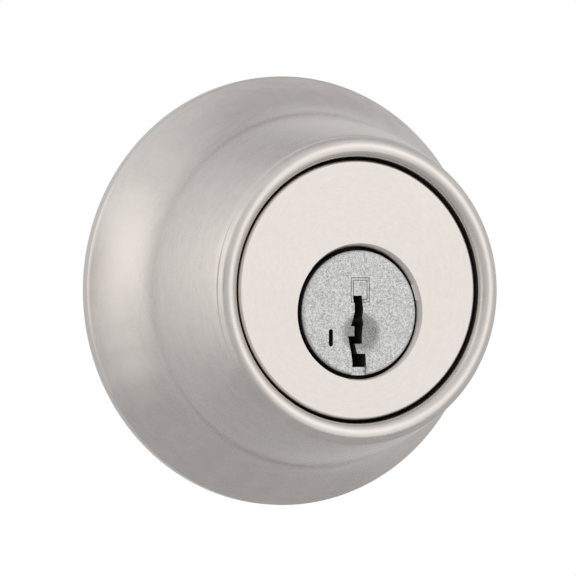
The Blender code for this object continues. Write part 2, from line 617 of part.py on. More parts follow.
def make_pins(axis):
    left, right, back, front = cover_span()
    cover = block("spring_cover", left, right, COVER_BOTTOM, COVER_BOTTOM + COVER_THICKNESS,
                  back, front, axis)
    finish(cover, PLATED_STEEL, 0.4)
    for number, height in enumerate(pin_heights(), 1):
        make_key_pin(number, height, axis)
        length = COVER_BOTTOM - PIN_TOP - 2 * (SPRING_WIRE + GAP)
        start = (PIN_ACROSS, -height, PIN_TOP + SPRING_WIRE + GAP)
        spring = coil(f"pin_spring_{number}", PIN_SPRING_RADIUS, start, "Z", length, 4, axis)
        finish(spring, SPRING_STEEL, 0.3)


def make_key_pin(number, height, axis):
    """A key pin with a ring groove for each tooth of its rack, turned upright on its own axis."""
    groove = TOOTH_THICKNESS / 2 + GAP
    profile = [(0.0, PIN_BOTTOM), (PIN_TIP_RADIUS, PIN_BOTTOM)]
    profile.append((PIN_RADIUS, PIN_BOTTOM + PIN_TIP_LENGTH))
    for i in range(TOOTH_COUNT):
        middle = FIRST_TOOTH + i * TOOTH_PITCH
        profile += [(PIN_RADIUS, middle - groove), (PIN_GROOVE_RADIUS, middle - groove)]
        profile += [(PIN_GROOVE_RADIUS, middle + groove), (PIN_RADIUS, middle + groove)]
    profile += [(PIN_RADIUS, PIN_TOP), (0.0, PIN_TOP)]
    pin = turned(f"key_pin_{number}", profile, SMALL_STEPS, axis)
    for vert in pin.data.vertices:
        x, y, z = vert.co
        vert.co = (x, z, -y)
    pin.location = (PIN_ACROSS, -height, 0.0)
    finish(pin, BRASS, 0.3)


def make_racks(axis):
    """Flat racks whose teeth sit in the pins' grooves, and whose backs face the sidebar."""
    tooth_tip = PIN_ACROSS - PIN_GROOVE_RADIUS - GAP
    body = PIN_ACROSS - PIN_RADIUS - GAP
    bottom = PIN_BOTTOM - RACK_DROP
    outline = [(RACK_BACK, bottom), (body, bottom)]
    for i in range(TOOTH_COUNT):
        middle = FIRST_TOOTH + i * TOOTH_PITCH
        low = middle - TOOTH_THICKNESS / 2
        high = middle + TOOTH_THICKNESS / 2
        outline += [(body, low), (tooth_tip, low), (tooth_tip, high), (body, high)]
    outline += [(body, bottom + RACK_HEIGHT), (RACK_BACK, bottom + RACK_HEIGHT)]
    for number, height in enumerate(pin_heights(), 1):
        rack = extruded(f"rack_{number}", outline, height - RACK_THICKNESS / 2,
                        height + RACK_THICKNESS / 2, axis)
        set_origin(rack, (RACK_BACK, -height, 0.0))
        finish(rack, PLATED_STEEL, 0.35)


def carriage_foot():
    """Left, right and bottom of the foot that the re-keying tool pushes on."""
    x, z = TOOL_SLOT_CENTRE
    return x - CARRIAGE_FOOT_WIDTH / 2, x + CARRIAGE_FOOT_WIDTH / 2, z - TOOL_SLOT_LENGTH / 2


def carriage_finger_outline():
    """One finger of the comb, notched where the sidebar comes in, and rooted in both rails."""
    bottom = PIN_BOTTOM - RACK_DROP
    root = RACK_BACK - GAP - CARRIAGE_FINGER_ROOT
    notch = SIDEBAR_RIGHT + SIDEBAR_TRAVEL + GAP
    notch_bottom = SIDEBAR_BOTTOM - GAP
    notch_top = SIDEBAR_BOTTOM + SIDEBAR_THICKNESS + GAP
    return [
        (CARRIAGE_RIGHT, bottom), (CARRIAGE_RIGHT, CARRIAGE_TOP), (root, CARRIAGE_TOP),
        (root, notch_top), (notch, notch_top), (notch, notch_bottom), (root, notch_bottom),
        (root, bottom),
    ]


def make_carriage(axis):
    """The comb that carries the racks: two rails joined by fingers, and a foot at the front."""
    bottom = PIN_BOTTOM - RACK_DROP
    rail_right = RACK_BACK - GAP
    lower_top = SIDEBAR_BOTTOM - GAP
    upper_bottom = SIDEBAR_BOTTOM + SIDEBAR_THICKNESS + GAP
    carriage = block("rack_carriage", CARRIAGE_LEFT, rail_right, upper_bottom, CARRIAGE_TOP,
                     CARRIAGE_BACK, CARRIAGE_FRONT, axis)
    lower = block("lower rail", CARRIAGE_LEFT, rail_right, bottom, lower_top, CARRIAGE_BACK,
                  CARRIAGE_FRONT, axis)
    edges = [CARRIAGE_FRONT]
    for height in pin_heights():
        edges += [height + RACK_THICKNESS / 2 + GAP, height - RACK_THICKNESS / 2 - GAP]
    edges.append(CARRIAGE_BACK)
    for number, (front, back) in enumerate(zip(edges[::2], edges[1::2]), 1):
        join(carriage, extruded(f"comb finger {number}", carriage_finger_outline(), back, front, axis))
    join(carriage, lower)
    left, right, foot_bottom = carriage_foot()
    join(carriage, block("foot", left, right, foot_bottom, bottom + CARRIAGE_FOOT_ROOT,
                         CARRIAGE_FRONT - CARRIAGE_FINGER_END, CARRIAGE_FRONT, axis))
    finish(carriage, PLATED_STEEL, 0.4)
    start = (CARRIAGE_SPRING_ACROSS, -(CARRIAGE_BACK - SPRING_WIRE - GAP), CARRIAGE_SPRING_UP)
    length = CARRIAGE_SPRING_LENGTH - 2 * SPRING_WIRE - GAP
    spring = coil("carriage_spring", CARRIAGE_SPRING_RADIUS, start, "Y", length, 5, axis)
    finish(spring, SPRING_STEEL, 0.3)


def make_sidebar(axis):
    """The bar that locks the plug in the core's groove until every rack lets it in."""
    back, front = sidebar_span()
    top = SIDEBAR_BOTTOM + SIDEBAR_THICKNESS
    outline = [
        (SIDEBAR_RIGHT, SIDEBAR_BOTTOM), (SIDEBAR_RIGHT, top), (SIDEBAR_LEFT + SIDEBAR_NOSE, top),
        (SIDEBAR_LEFT, top - SIDEBAR_NOSE), (SIDEBAR_LEFT, SIDEBAR_BOTTOM + SIDEBAR_NOSE),
        (SIDEBAR_LEFT + SIDEBAR_NOSE, SIDEBAR_BOTTOM),
    ]
    bar = extruded("sidebar", outline, back, front, axis)
    set_origin(bar, (SIDEBAR_LEFT, 0.0, SIDEBAR_BOTTOM))
    finish(bar, BRASS, 0.35)
    for end, height in sidebar_spring_places():
        start = (SIDEBAR_RIGHT + SPRING_WIRE + GAP, -height, SIDEBAR_SPRING_UP)
        spring = coil(f"sidebar_spring_{end}", SIDEBAR_SPRING_RADIUS, start, "X",
                      SIDEBAR_SPRING_LENGTH - 2 * SPRING_WIRE - GAP, 3, axis)
        finish(spring, SPRING_STEEL, 0.3)


# ---------------------------------------------------------------- tail


def lugged_outline(radius, inner_radius, tooth_angle, first, steps=5):
    """A round outline with two teeth of a given angle, centred on one angle and its opposite.

    The teeth reach inner_radius, which may lie inside or outside the rest of the outline.
    """
    points = []
    for side in (0, 180):
        start = first + side
        points += arc((0, 0), inner_radius, start - tooth_angle / 2, start + tooth_angle / 2, steps)
        points += arc((0, 0), radius, start + tooth_angle / 2, start + 180 - tooth_angle / 2, 2 * steps)
    return points


def lug_outline(middle):
    """A lug inside the drive cup, rooted in the cup's wall."""
    start = middle - LUG_ANGLE / 2
    end = middle + LUG_ANGLE / 2
    root = CUP_BORE + CUP_WALL / 2
    return arc((0, 0), LUG_RADIUS, start, end, 4) + arc((0, 0), root, end, start, 4)


def make_drive_cup(axis):
    hole = SPIGOT_RADIUS + GAP
    profile = [
        (hole, CUP_FRONT), (CUP_RADIUS, CUP_FRONT), (CUP_RADIUS, CUP_BACK), (CUP_BORE, CUP_BACK),
        (CUP_BORE, CUP_FLOOR), (hole, CUP_FLOOR),
    ]
    cup = turned("drive_cup", profile, MEDIUM_STEPS, axis)
    lug_front = CUP_FLOOR - GAP / 2
    lug_back = CUP_FLOOR - LUG_LENGTH
    for side, middle in (("upper", 90), ("lower", 270)):
        join(cup, extruded(f"{side} lug", lug_outline(middle), lug_back, lug_front, axis))
    cut(cup, cross_hole("roll pin hole in cup", axis))
    finish(cup, CAST_ZINC, 0.5)
    pin_reach = CUP_RADIUS - GAP
    pin = cross_rod("cup_roll_pin", ROLL_PIN_RADIUS, -pin_reach, pin_reach, ROLL_PIN_HEIGHT, 0.0, axis)
    finish(pin, SPRING_STEEL, 0.35)
    ring_front = lug_back - GAP
    inner = BLADE_RADIUS + RETAINER_GAP
    outer = CUP_BORE - GAP
    profile = [(inner, ring_front), (outer, ring_front), (outer, ring_front - RETAINER_THICKNESS),
               (inner, ring_front - RETAINER_THICKNESS)]
    finish(turned("blade_retainer", profile, 24, axis), PLATED_STEEL, 0.4)


def make_torque_blade(axis):
    """The half-round tail and its two-winged head, which the cup's lugs push round."""
    wing_back = WING_FRONT - WING_THICKNESS
    play = (180 - LUG_ANGLE - WING_ANGLE - LOST_MOTION) / 2
    first = 90 - (LUG_ANGLE + WING_ANGLE) / 2 - play
    head = lugged_outline(HUB_RADIUS, CUP_BORE - GAP, WING_ANGLE, first)
    blade = extruded("torque_blade", head, wing_back, WING_FRONT, axis)
    flat_angle = math.degrees(math.asin(BLADE_FLAT / BLADE_RADIUS))
    section = arc((0, 0), BLADE_RADIUS, 180 - flat_angle, 360 + flat_angle, 12)
    join(blade, extruded("blade bar", section, BLADE_END, wing_back + GAP, axis))
    finish(blade, PLATED_STEEL, 0.35)


def make_retaining_clip(axis):
    front = PLUG_BACK
    back = front - CLIP_THICKNESS
    inner = PLUG_GROOVE_RADIUS + GAP
    profile = [(inner, front), (CLIP_RADIUS, front), (CLIP_RADIUS, back), (inner, back)]
    clip = turned("retaining_clip", profile, MEDIUM_STEPS, axis)
    cut(clip, block("clip opening", -CLIP_OPENING / 2, CLIP_OPENING / 2, -CLIP_RADIUS - OVERRUN, 0.0,
                    back - OVERRUN, front + OVERRUN, axis))
    finish(clip, SPRING_STEEL, 0.35)


# ---------------------------------------------------------------- assembly

for old in list(bpy.data.objects):
    bpy.data.objects.remove(old)

guard_axis = axis_empty("guard axis", (0.0, 0.0, 0.0))
plug_axis = axis_empty("plug axis", (0.0, 0.0, -PLUG_DROP))
make_guard(guard_axis)
make_core()
make_drill_pins()
make_stems()
make_adapter_ring()
make_plug(plug_axis)
make_pins(plug_axis)
make_racks(plug_axis)
make_carriage(plug_axis)
make_sidebar(plug_axis)
make_retaining_clip(plug_axis)
make_drive_cup(plug_axis)
make_torque_blade(plug_axis)
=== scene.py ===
import math

import bmesh
import bpy
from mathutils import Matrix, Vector


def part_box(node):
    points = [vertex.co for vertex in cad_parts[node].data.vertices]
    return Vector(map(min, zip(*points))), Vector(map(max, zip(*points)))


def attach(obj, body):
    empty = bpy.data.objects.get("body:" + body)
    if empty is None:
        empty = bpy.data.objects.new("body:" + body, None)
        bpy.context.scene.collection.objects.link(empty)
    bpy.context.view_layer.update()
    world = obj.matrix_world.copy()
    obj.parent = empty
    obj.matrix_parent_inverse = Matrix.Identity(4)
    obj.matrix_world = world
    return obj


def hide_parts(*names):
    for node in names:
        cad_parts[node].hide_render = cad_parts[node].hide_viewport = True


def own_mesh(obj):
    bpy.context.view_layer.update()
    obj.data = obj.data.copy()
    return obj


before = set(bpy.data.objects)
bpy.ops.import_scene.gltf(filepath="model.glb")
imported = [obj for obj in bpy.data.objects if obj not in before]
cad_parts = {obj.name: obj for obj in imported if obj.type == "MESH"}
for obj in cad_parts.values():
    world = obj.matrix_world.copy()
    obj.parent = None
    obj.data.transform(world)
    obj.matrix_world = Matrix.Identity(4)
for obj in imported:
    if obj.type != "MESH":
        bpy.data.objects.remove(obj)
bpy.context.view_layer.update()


# ------------------------------------------------------------------ core
# The fixed cylinder body: a zinc casting whose round face fills the rim of the guard. The face is
# plated in satin nickel and brushed round its own axis; the plug sits in an off-centre bore with a
# dished seat, and the edge of the face is broken with a small chamfer.

MM = 0.001
GAP = 0.3 * MM
OVERRUN = 1.0 * MM
PLUG_UP = (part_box("drive_cup")[0].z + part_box("drive_cup")[1].z) / 2
FACE_HEIGHT = -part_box("cylinder_body")[0].y
FACE_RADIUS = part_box("cylinder_body")[1].x
CORE_BACK = -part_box("cylinder_body")[1].y
HEAD_BACK = FACE_HEIGHT - 3.9 * MM
BARREL_RADIUS = 17.0 * MM
BORE_RADIUS = 9.1 * MM
SEAT_RADIUS = 9.78 * MM
SEAT_FLOOR = FACE_HEIGHT - 2.8 * MM
DISH_DEPTH = 0.56 * MM
DISH_RADIUS = 10.12 * MM
DISH_CENTRE = (0.36 * MM, 0.12 * MM)
SATIN_NICKEL = (0.66, 0.615, 0.575)


def softened(points, radius, steps=3, hold=0.03 * MM):
    """A closed (radius, height) outline with its corners rounded, and a point held just past each."""
    out = []
    for i, corner in enumerate(points):
        before = Vector(points[i - 1])
        after = Vector(points[(i + 1) % len(points)])
        corner = Vector(corner)
        into, away = (before - corner), (after - corner)
        straight = math.pi - into.angle(away) < math.radians(12)
        if corner.x < 1e-9 or straight:
            out.append(tuple(corner))
            continue
        reach = min(radius, 0.4 * into.length, 0.4 * away.length)
        start = corner + into.normalized() * reach
        end = corner + away.normalized() * reach
        if into.length > 3 * (reach + hold):
            out.append(tuple(start + into.normalized() * hold))
        for k in range(steps + 1):
            t = k / steps
            out.append(tuple(start * (1 - t) ** 2 + corner * 2 * t * (1 - t) + end * t * t))
        if away.length > 3 * (reach + hold):
            out.append(tuple(end + away.normalized() * hold))
    return out


def bend(start, start_angle, end, end_angle, steps):
    """Points of a smooth curve between two (radius, height) points that leans in by two slopes."""
    reach = math.dist(start, end) / 3
    first = (start[0] - reach * math.sin(start_angle), start[1] + reach * math.cos(start_angle))
    last = (end[0] + reach * math.sin(end_angle), end[1] - reach * math.cos(end_angle))
    points = []
    for i in range(steps + 1):
        t = i / steps
        weights = ((1 - t) ** 3, 3 * t * (1 - t) ** 2, 3 * t * t * (1 - t), t ** 3)
        points.append(tuple(sum(w * p[k] for w, p in zip(weights, (start, first, last, end)))
                            for k in (0, 1)))
    return points


def arc(centre, radius, start, end, steps):
    """Points along an arc between two angles, in degrees."""
    angles = [math.radians(start + (end - start) * i / steps) for i in range(steps + 1)]
    return [(centre[0] + radius * math.cos(a), centre[1] + radius * math.sin(a)) for a in angles]


def new_piece(name, bm, sharp=40):
    """An object at the origin from a bmesh, smooth except where its faces meet sharply."""
    mesh = bpy.data.meshes.new(name)
    bm.to_mesh(mesh)
    bm.free()
    mesh.shade_smooth()
    mesh.set_sharp_from_angle(angle=math.radians(sharp))
    piece = bpy.data.objects.new(name, mesh)
    bpy.context.scene.collection.objects.link(piece)
    return piece


def turned(name, profile, steps=128, centre=(0.0, 0.0)):
    """A piece turned round the Y axis through a centre, from a closed (radius, height) profile."""
    bm = bmesh.new()
    verts = [bm.verts.new((radius, -height, 0.0)) for radius, height in profile]
    edges = [bm.edges.new(pair) for pair in zip(verts, verts[1:] + verts[:1])]
    bmesh.ops.spin(bm, geom=verts + edges, cent=(0, 0, 0), axis=(0, 1, 0),
                   angle=2 * math.pi, steps=steps, use_merge=True)
    bmesh.ops.remove_doubles(bm, verts=bm.verts[:], dist=1e-7)
    bmesh.ops.dissolve_degenerate(bm, edges=bm.edges[:], dist=1e-7)
    bmesh.ops.recalc_face_normals(bm, faces=bm.faces[:])
    bmesh.ops.translate(bm, verts=bm.verts[:], vec=(centre[0], 0.0, centre[1]))
    return new_piece(name, bm)


def bar(name, radius, back, front, centre=(0.0, 0.0), steps=48):
    """A plain round bar along Y."""
    return turned(name, [(0.0, front), (radius, front), (radius, back), (0.0, back)], steps, centre)


def upright_bar(name, radius, bottom, top, height, across, steps=32):
    """A plain round bar along Z."""
    bm = bmesh.new()
    bmesh.ops.create_cone(bm, cap_ends=True, segments=steps, radius1=radius, radius2=radius,
                          depth=top - bottom)
    bmesh.ops.translate(bm, verts=bm.verts[:], vec=(across, -height, (bottom + top) / 2))
    return new_piece(name, bm)


def cross_bar(name, radius, left, right, height, up, steps=32):
    """A plain round bar along X."""
    bm = bmesh.new()
    bmesh.ops.create_cone(bm, cap_ends=True, segments=steps, radius1=radius, radius2=radius,
                          depth=right - left)
    for vert in bm.verts:
        vert.co = ((left + right) / 2 + vert.co.z, vert.co.y - height, up - vert.co.x)
    return new_piece(name, bm)


def plate(name, outline, back, front):
    """A solid with a flat (across, up) outline, running along Y."""
    bm = bmesh.new()
    face = bm.faces.new([bm.verts.new((x, -back, z)) for x, z in outline])
    grown = bmesh.ops.extrude_face_region(bm, geom=[face])["geom"]
    moved = [item for item in grown if isinstance(item, bmesh.types.BMVert)]
    bmesh.ops.translate(bm, verts=moved, vec=(0.0, back - front, 0.0))
    bmesh.ops.recalc_face_normals(bm, faces=bm.faces[:])
    return new_piece(name, bm)


def block(name, left, right, bottom, top, back, front):
    """A box between two places across, two up and two heights."""
    return plate(name, [(left, bottom), (right, bottom), (right, top), (left, top)], back, front)


def shaped(piece, tools, operation="DIFFERENCE"):
    """Cuts tools from a piece, or joins them on, and keeps the result as its mesh."""
    for tool in tools:
        change = piece.modifiers.new("shape", "BOOLEAN")
        change.operation = operation
        change.object = tool
        change.solver = "EXACT"
    graph = bpy.context.evaluated_depsgraph_get()
    mesh = bpy.data.meshes.new_from_object(piece.evaluated_get(graph))
    piece.modifiers.clear()
    piece.data = mesh
    for tool in tools:
        bpy.data.objects.remove(tool)
    return piece


def eased(piece, picks, width, segments=2, sharp=40):
    """Bevels the sharp edges whose middle is picked, and evens the shading of the flats beside them."""
    bm = bmesh.new()
    bm.from_mesh(piece.data)
    bmesh.ops.remove_doubles(bm, verts=bm.verts[:], dist=1e-7)
    bmesh.ops.dissolve_limit(bm, angle_limit=math.radians(0.2), verts=bm.verts[:], edges=bm.edges[:])
    chosen = [edge for edge in bm.edges
              if edge.is_manifold and edge.calc_face_angle(0.0) > math.radians(25)
              and picks((edge.verts[0].co + edge.verts[1].co) / 2)]
    bmesh.ops.bevel(bm, geom=chosen, offset=width, offset_type="OFFSET", segments=segments,
                    profile=0.5, affect="EDGES", clamp_overlap=True, material=-1)
    bm.to_mesh(piece.data)
    bm.free()
    piece.data.shade_smooth()
    piece.data.set_sharp_from_angle(angle=math.radians(sharp))
    even = piece.modifiers.new("even shading", "WEIGHTED_NORMAL")
    even.keep_sharp = True
    return piece


def new_group(name, inputs, outputs):
    """An empty shader node group with named float, colour or vector sockets."""
    group = bpy.data.node_groups.new(name, "ShaderNodeTree")
    for label, kind, value in inputs:
        socket = group.interface.new_socket(label, in_out="INPUT", socket_type=f"NodeSocket{kind}")
        if value is not None:
            socket.default_value = value
    for label, kind in outputs:
        group.interface.new_socket(label, in_out="OUTPUT", socket_type=f"NodeSocket{kind}")
    return group, group.nodes.new("NodeGroupInput"), group.nodes.new("NodeGroupOutput")


def math_node(tree, operation, first, second=0.0, third=0.0):
    """A Math node, fed by sockets or plain numbers."""
    node = tree.nodes.new("ShaderNodeMath")
    node.operation = operation
    for socket, value in zip(node.inputs, (first, second, third)):
        if isinstance(value, (int, float)):
            socket.default_value = value
        else:
            tree.links.new(value, socket)
    return node.outputs[0]


def noise(tree, vector, scale, detail=2.0, roughness=0.5):
    node = tree.nodes.new("ShaderNodeTexNoise")
    node.inputs["Scale"].default_value = scale
    node.inputs["Detail"].default_value = detail
    node.inputs["Roughness"].default_value = roughness
    tree.links.new(vector, node.inputs["Vector"])
    return node.outputs["Fac"]


def combined(tree, x, y, z):
    node = tree.nodes.new("ShaderNodeCombineXYZ")
    for socket, value in zip(node.inputs, (x, y, z)):
        if isinstance(value, (int, float)):
            socket.default_value = value
        else:
            tree.links.new(value, socket)
    return node.outputs[0]


def make_ring_brushing():
    """Fine scratches that run round the Y axis, as a brushing wheel leaves them on a turned piece."""
    group, given, out = new_group(
        "ring_brushing",
        [("Vector", "Vector", None), ("Lines", "Float", 9000.0), ("Length", "Float", 14.0),
         ("Depth", "Float", 0.02)],
        [("Streaks", "Float"), ("Clouds", "Float"), ("Normal", "Vector")])
    split = group.nodes.new("ShaderNodeSeparateXYZ")
    group.links.new(given.outputs["Vector"], split.inputs[0])
    x, y, z = split.outputs
    square = math_node(group, "ADD", math_node(group, "MULTIPLY", x, x), math_node(group, "MULTIPLY", z, z))
    radius = math_node(group, "MAXIMUM", math_node(group, "SQRT", square), 1e-5)
    across = math_node(group, "MULTIPLY", math_node(group, "DIVIDE", x, radius), given.outputs["Length"])
    up = math_node(group, "MULTIPLY", math_node(group, "DIVIDE", z, radius), given.outputs["Length"])
    meridian = math_node(group, "MULTIPLY_ADD", y, -0.71, radius)
    lines = math_node(group, "MULTIPLY", meridian, given.outputs["Lines"])
    fine = noise(group, combined(group, across, up, lines), 1.0, 3.0, 0.6)
    coarse = noise(group, combined(group, across, up, math_node(group, "MULTIPLY", lines, 0.23)), 1.0, 2.0)
    streaks = math_node(group, "MULTIPLY_ADD", coarse, 0.4, math_node(group, "MULTIPLY", fine, 0.6))
    clouds = noise(group, given.outputs["Vector"], 90.0, 3.0, 0.55)
    bump = group.nodes.new("ShaderNodeBump")
    bump.inputs["Distance"].default_value = 0.02 * MM
    group.links.new(given.outputs["Depth"], bump.inputs["Strength"])
    group.links.new(streaks, bump.inputs["Height"])
    group.links.new(streaks, out.inputs["Streaks"])
    group.links.new(clouds, out.inputs["Clouds"])
    group.links.new(bump.outputs["Normal"], out.inputs["Normal"])
    return group


def new_finish(name, metallic, roughness):
    """A material with its Principled shader and an Object-coordinate vector ready to use."""
    material = bpy.data.materials.new(name)
    material.use_nodes = True
    tree = material.node_tree
    shader = tree.nodes["Principled BSDF"]
    shader.inputs["Metallic"].default_value = metallic
    shader.inputs["Roughness"].default_value = roughness
    coordinates = tree.nodes.new("ShaderNodeTexCoord")
    return material, tree, shader, coordinates.outputs["Object"]


def between(tree, factor, low, high, dark, light):
    """Blends two colours as a factor runs from low to high."""
    ramp = tree.nodes.new("ShaderNodeMapRange")
    ramp.inputs["From Min"].default_value = low
    ramp.inputs["From Max"].default_value = high
    tree.links.new(factor, ramp.inputs["Value"])
    mix = tree.nodes.new("ShaderNodeMix")
    mix.data_type = "RGBA"
    tree.links.new(ramp.outputs["Result"], mix.inputs["Factor"])
    mix.inputs["A"].default_value = (*dark, 1.0)
    mix.inputs["B"].default_value = (*light, 1.0)
    return mix.outputs["Result"]


def ranged(tree, factor, low, high, bottom, top):
    """Turns a factor that runs from low to high into one that runs from bottom to top."""
    node = tree.nodes.new("ShaderNodeMapRange")
    for label, value in zip(("From Min", "From Max", "To Min", "To Max"), (low, high, bottom, top)):
        node.inputs[label].default_value = value
    tree.links.new(factor, node.inputs["Value"])
    return node.outputs["Result"]


def shade(colour, amount):
    return tuple(channel * amount for channel in colour)


ring_brushing = make_ring_brushing()


def make_satin(name, colour, lines, length, depth, roughness):
    """Brushed plating, with streaks round the axis that tint it and rough it a little."""
    material, tree, shader, vector = new_finish(name, 1.0, roughness)
    brush = tree.nodes.new("ShaderNodeGroup")
    brush.node_tree = ring_brushing
    brush.inputs["Lines"].default_value = lines
    brush.inputs["Length"].default_value = length
    brush.inputs["Depth"].default_value = depth
    tree.links.new(vector, brush.inputs["Vector"])
    tint = between(tree, brush.outputs["Streaks"], 0.3, 0.7, shade(colour, 0.93), shade(colour, 1.05))
    tree.links.new(tint, shader.inputs["Base Color"])
    mottled = math_node(tree, "MULTIPLY_ADD", brush.outputs["Clouds"], 0.35,
                        math_node(tree, "MULTIPLY", brush.outputs["Streaks"], 0.65))
    tree.links.new(ranged(tree, mottled, 0.3, 0.7, roughness - 0.04, roughness + 0.06),
                   shader.inputs["Roughness"])
    tree.links.new(brush.outputs["Normal"], shader.inputs["Normal"])
    return material


def place(piece, body, nodes, material):
    """Finishes a piece, hangs it on the body it rides on, and hides the CAD nodes it stands for."""
    piece.data.materials.clear()
    piece.data.materials.append(material)
    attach(piece, body)
    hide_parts(*nodes)


def make_shade_finish(name, colour, roughness):
    """Near-black dull metal for faces in gaps and hollows: painted shade, with a faint mottle."""
    material, tree, shader, vector = new_finish(name, 0.3, roughness)
    shade_mottle = noise(tree, vector, 1200.0, 3.0, 0.6)
    tint = between(tree, shade_mottle, 0.3, 0.7, shade(colour, 0.6), shade(colour, 1.4))
    tree.links.new(tint, shader.inputs["Base Color"])
    tree.links.new(ranged(tree, shade_mottle, 0.3, 0.7, roughness - 0.1, roughness + 0.1),
                   shader.inputs["Roughness"])
    return material


def second_finish(piece, material, picks):
    """Gives the faces whose middle is picked a second material."""
    piece.data.materials.append(material)
    for face in piece.data.polygons:
        if picks(face.center):
            face.material_index = 1


face_satin = make_satin("face_satin_nickel", SATIN_NICKEL, 7000.0, 12.0, 0.10, 0.30)


def make_core():
    profile = softened([
        (0.0, FACE_HEIGHT), (FACE_RADIUS - 0.35 * MM, FACE_HEIGHT),
        (FACE_RADIUS, FACE_HEIGHT - 0.35 * MM), (FACE_RADIUS, HEAD_BACK), (BARREL_RADIUS, HEAD_BACK),
        (BARREL_RADIUS, CORE_BACK), (0.0, CORE_BACK)], 0.15 * MM)
    core = turned("cylinder_core", profile, 160)
    bore = [(0.0, FACE_HEIGHT + OVERRUN), (SEAT_RADIUS, FACE_HEIGHT + OVERRUN),
            (SEAT_RADIUS, SEAT_FLOOR), (BORE_RADIUS, SEAT_FLOOR),
            (BORE_RADIUS, CORE_BACK - OVERRUN), (0.0, CORE_BACK - OVERRUN)]
    slope = math.tan(math.radians(38))
    dish = [(0.0, FACE_HEIGHT + OVERRUN), (DISH_RADIUS + OVERRUN / slope, FACE_HEIGHT + OVERRUN),
            (DISH_RADIUS - DISH_DEPTH / slope, FACE_HEIGHT - DISH_DEPTH), (0.0, FACE_HEIGHT - DISH_DEPTH)]
    tools = [turned("bore", bore, 160, (0.0, PLUG_UP)),
             turned("dish", dish, 160, (DISH_CENTRE[0], DISH_CENTRE[1] + PLUG_UP))]
    for across in (-12.9 * MM, 12.9 * MM):
        tools.append(bar("stem socket", 3.3 * MM, CORE_BACK - OVERRUN, 5.8 * MM, (across, PLUG_UP)))
    pin_low, pin_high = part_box("anti_drill_pin_left")
    for side in (-1, 1):
        across = side * -(pin_low.x + pin_high.x) / 2
        tools.append(upright_bar("drill pin hole", 1.2 * MM, pin_low.z - GAP, BARREL_RADIUS,
                                 -(pin_low.y + pin_high.y) / 2, across))
    bar_low, bar_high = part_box("sidebar")
    tools.append(block("sidebar groove", -10.0 * MM, -7.1 * MM, bar_low.z - GAP, bar_high.z + GAP,
                       -bar_high.y - GAP, -bar_low.y + GAP))
    shaped(core, tools)

    def at_face(point):
        off_axis = math.hypot(point.x, point.z - PLUG_UP)
        return point.y < 0.01 * MM - FACE_HEIGHT and off_axis > SEAT_RADIUS + 0.15 * MM

    return eased(core, at_face, 0.04 * MM, 2)


def in_gaps(point):
    """Whether a place on the core lies in the gap round its face or in the bore, out of the light."""
    off_axis = math.hypot(point.x, point.z - PLUG_UP)
    from_middle = math.hypot(point.x, point.z)
    in_bore = off_axis < SEAT_RADIUS + 0.01 * MM and -point.y < FACE_HEIGHT - DISH_DEPTH - 0.1 * MM
    return in_bore or (from_middle > FACE_RADIUS - 0.05 * MM and -point.y < FACE_HEIGHT - 0.7 * MM)


# Painted shade: a near-black finish for faces in the core's gap and bore, the guard's hollow and the plug's
# sunken faces.
gap_painted_shade = make_shade_finish("gap_painted_shade", (0.035, 0.033, 0.03), 0.75)
core_piece = make_core()
place(core_piece, "core", ["cylinder_body"], face_satin)
# The core's faces in the gap round its face and in the bore get painted shade.
second_finish(core_piece, gap_painted_shade, in_gaps)


# ------------------------------------------------------------------ anti_drill_pin_left and _right
# Two hardened steel dowels that stand in blind holes beside the plug, so that a drill skids off
# them. Ground bars with chamfered ends, blued dark by their heat treatment.

def make_plain(name, colour, metallic, roughness, scale=900.0, contrast=0.06, depth=0.05):
    """A finish with a fine even grain that tints it, roughs it and dents it a little."""
    material, tree, shader, vector = new_finish(name, metallic, roughness)
    fine = noise(tree, vector, scale, 4.0, 0.6)
    broad = noise(tree, vector, scale * 0.09, 3.0, 0.55)
    both = math_node(tree, "MULTIPLY_ADD", broad, 0.45, math_node(tree, "MULTIPLY", fine, 0.55))
    tint = between(tree, both, 0.35, 0.65, shade(colour, 1 - contrast), shade(colour, 1 + contrast))
    tree.links.new(tint, shader.inputs["Base Color"])
    tree.links.new(ranged(tree, both, 0.3, 0.7, roughness - 0.06, roughness + 0.08),
                   shader.inputs["Roughness"])
    bump = tree.nodes.new("ShaderNodeBump")
    bump.inputs["Strength"].default_value = depth
    bump.inputs["Distance"].default_value = 0.05 * MM
    tree.links.new(fine, bump.inputs["Height"])
    tree.links.new(bump.outputs["Normal"], shader.inputs["Normal"])
    return material


hard_steel = make_plain("hard_steel", (0.30, 0.30, 0.32), 1.0, 0.34)


def make_drill_pin(side):
    low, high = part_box(f"anti_drill_pin_{side}")
    middle = (low + high) / 2
    radius = (high.x - low.x) / 2
    pin = upright_bar(f"drill_pin_{side}", radius, low.z, high.z, -middle.y, middle.x)
    eased(pin, lambda point: True, 0.15 * MM, 2)
    place(pin, "core", [f"anti_drill_pin_{side}"], hard_steel)


make_drill_pin("left")
make_drill_pin("right")


# ------------------------------------------------------------------ mounting_stem_left and _right
# The round posts pressed into the back of the core, which reach through the door. Turned steel,
# zinc plated, with a tapped hole in the end for the inside half's screw.

plated_steel = make_plain("plated_steel", (0.60, 0.60, 0.58), 1.0, 0.38)


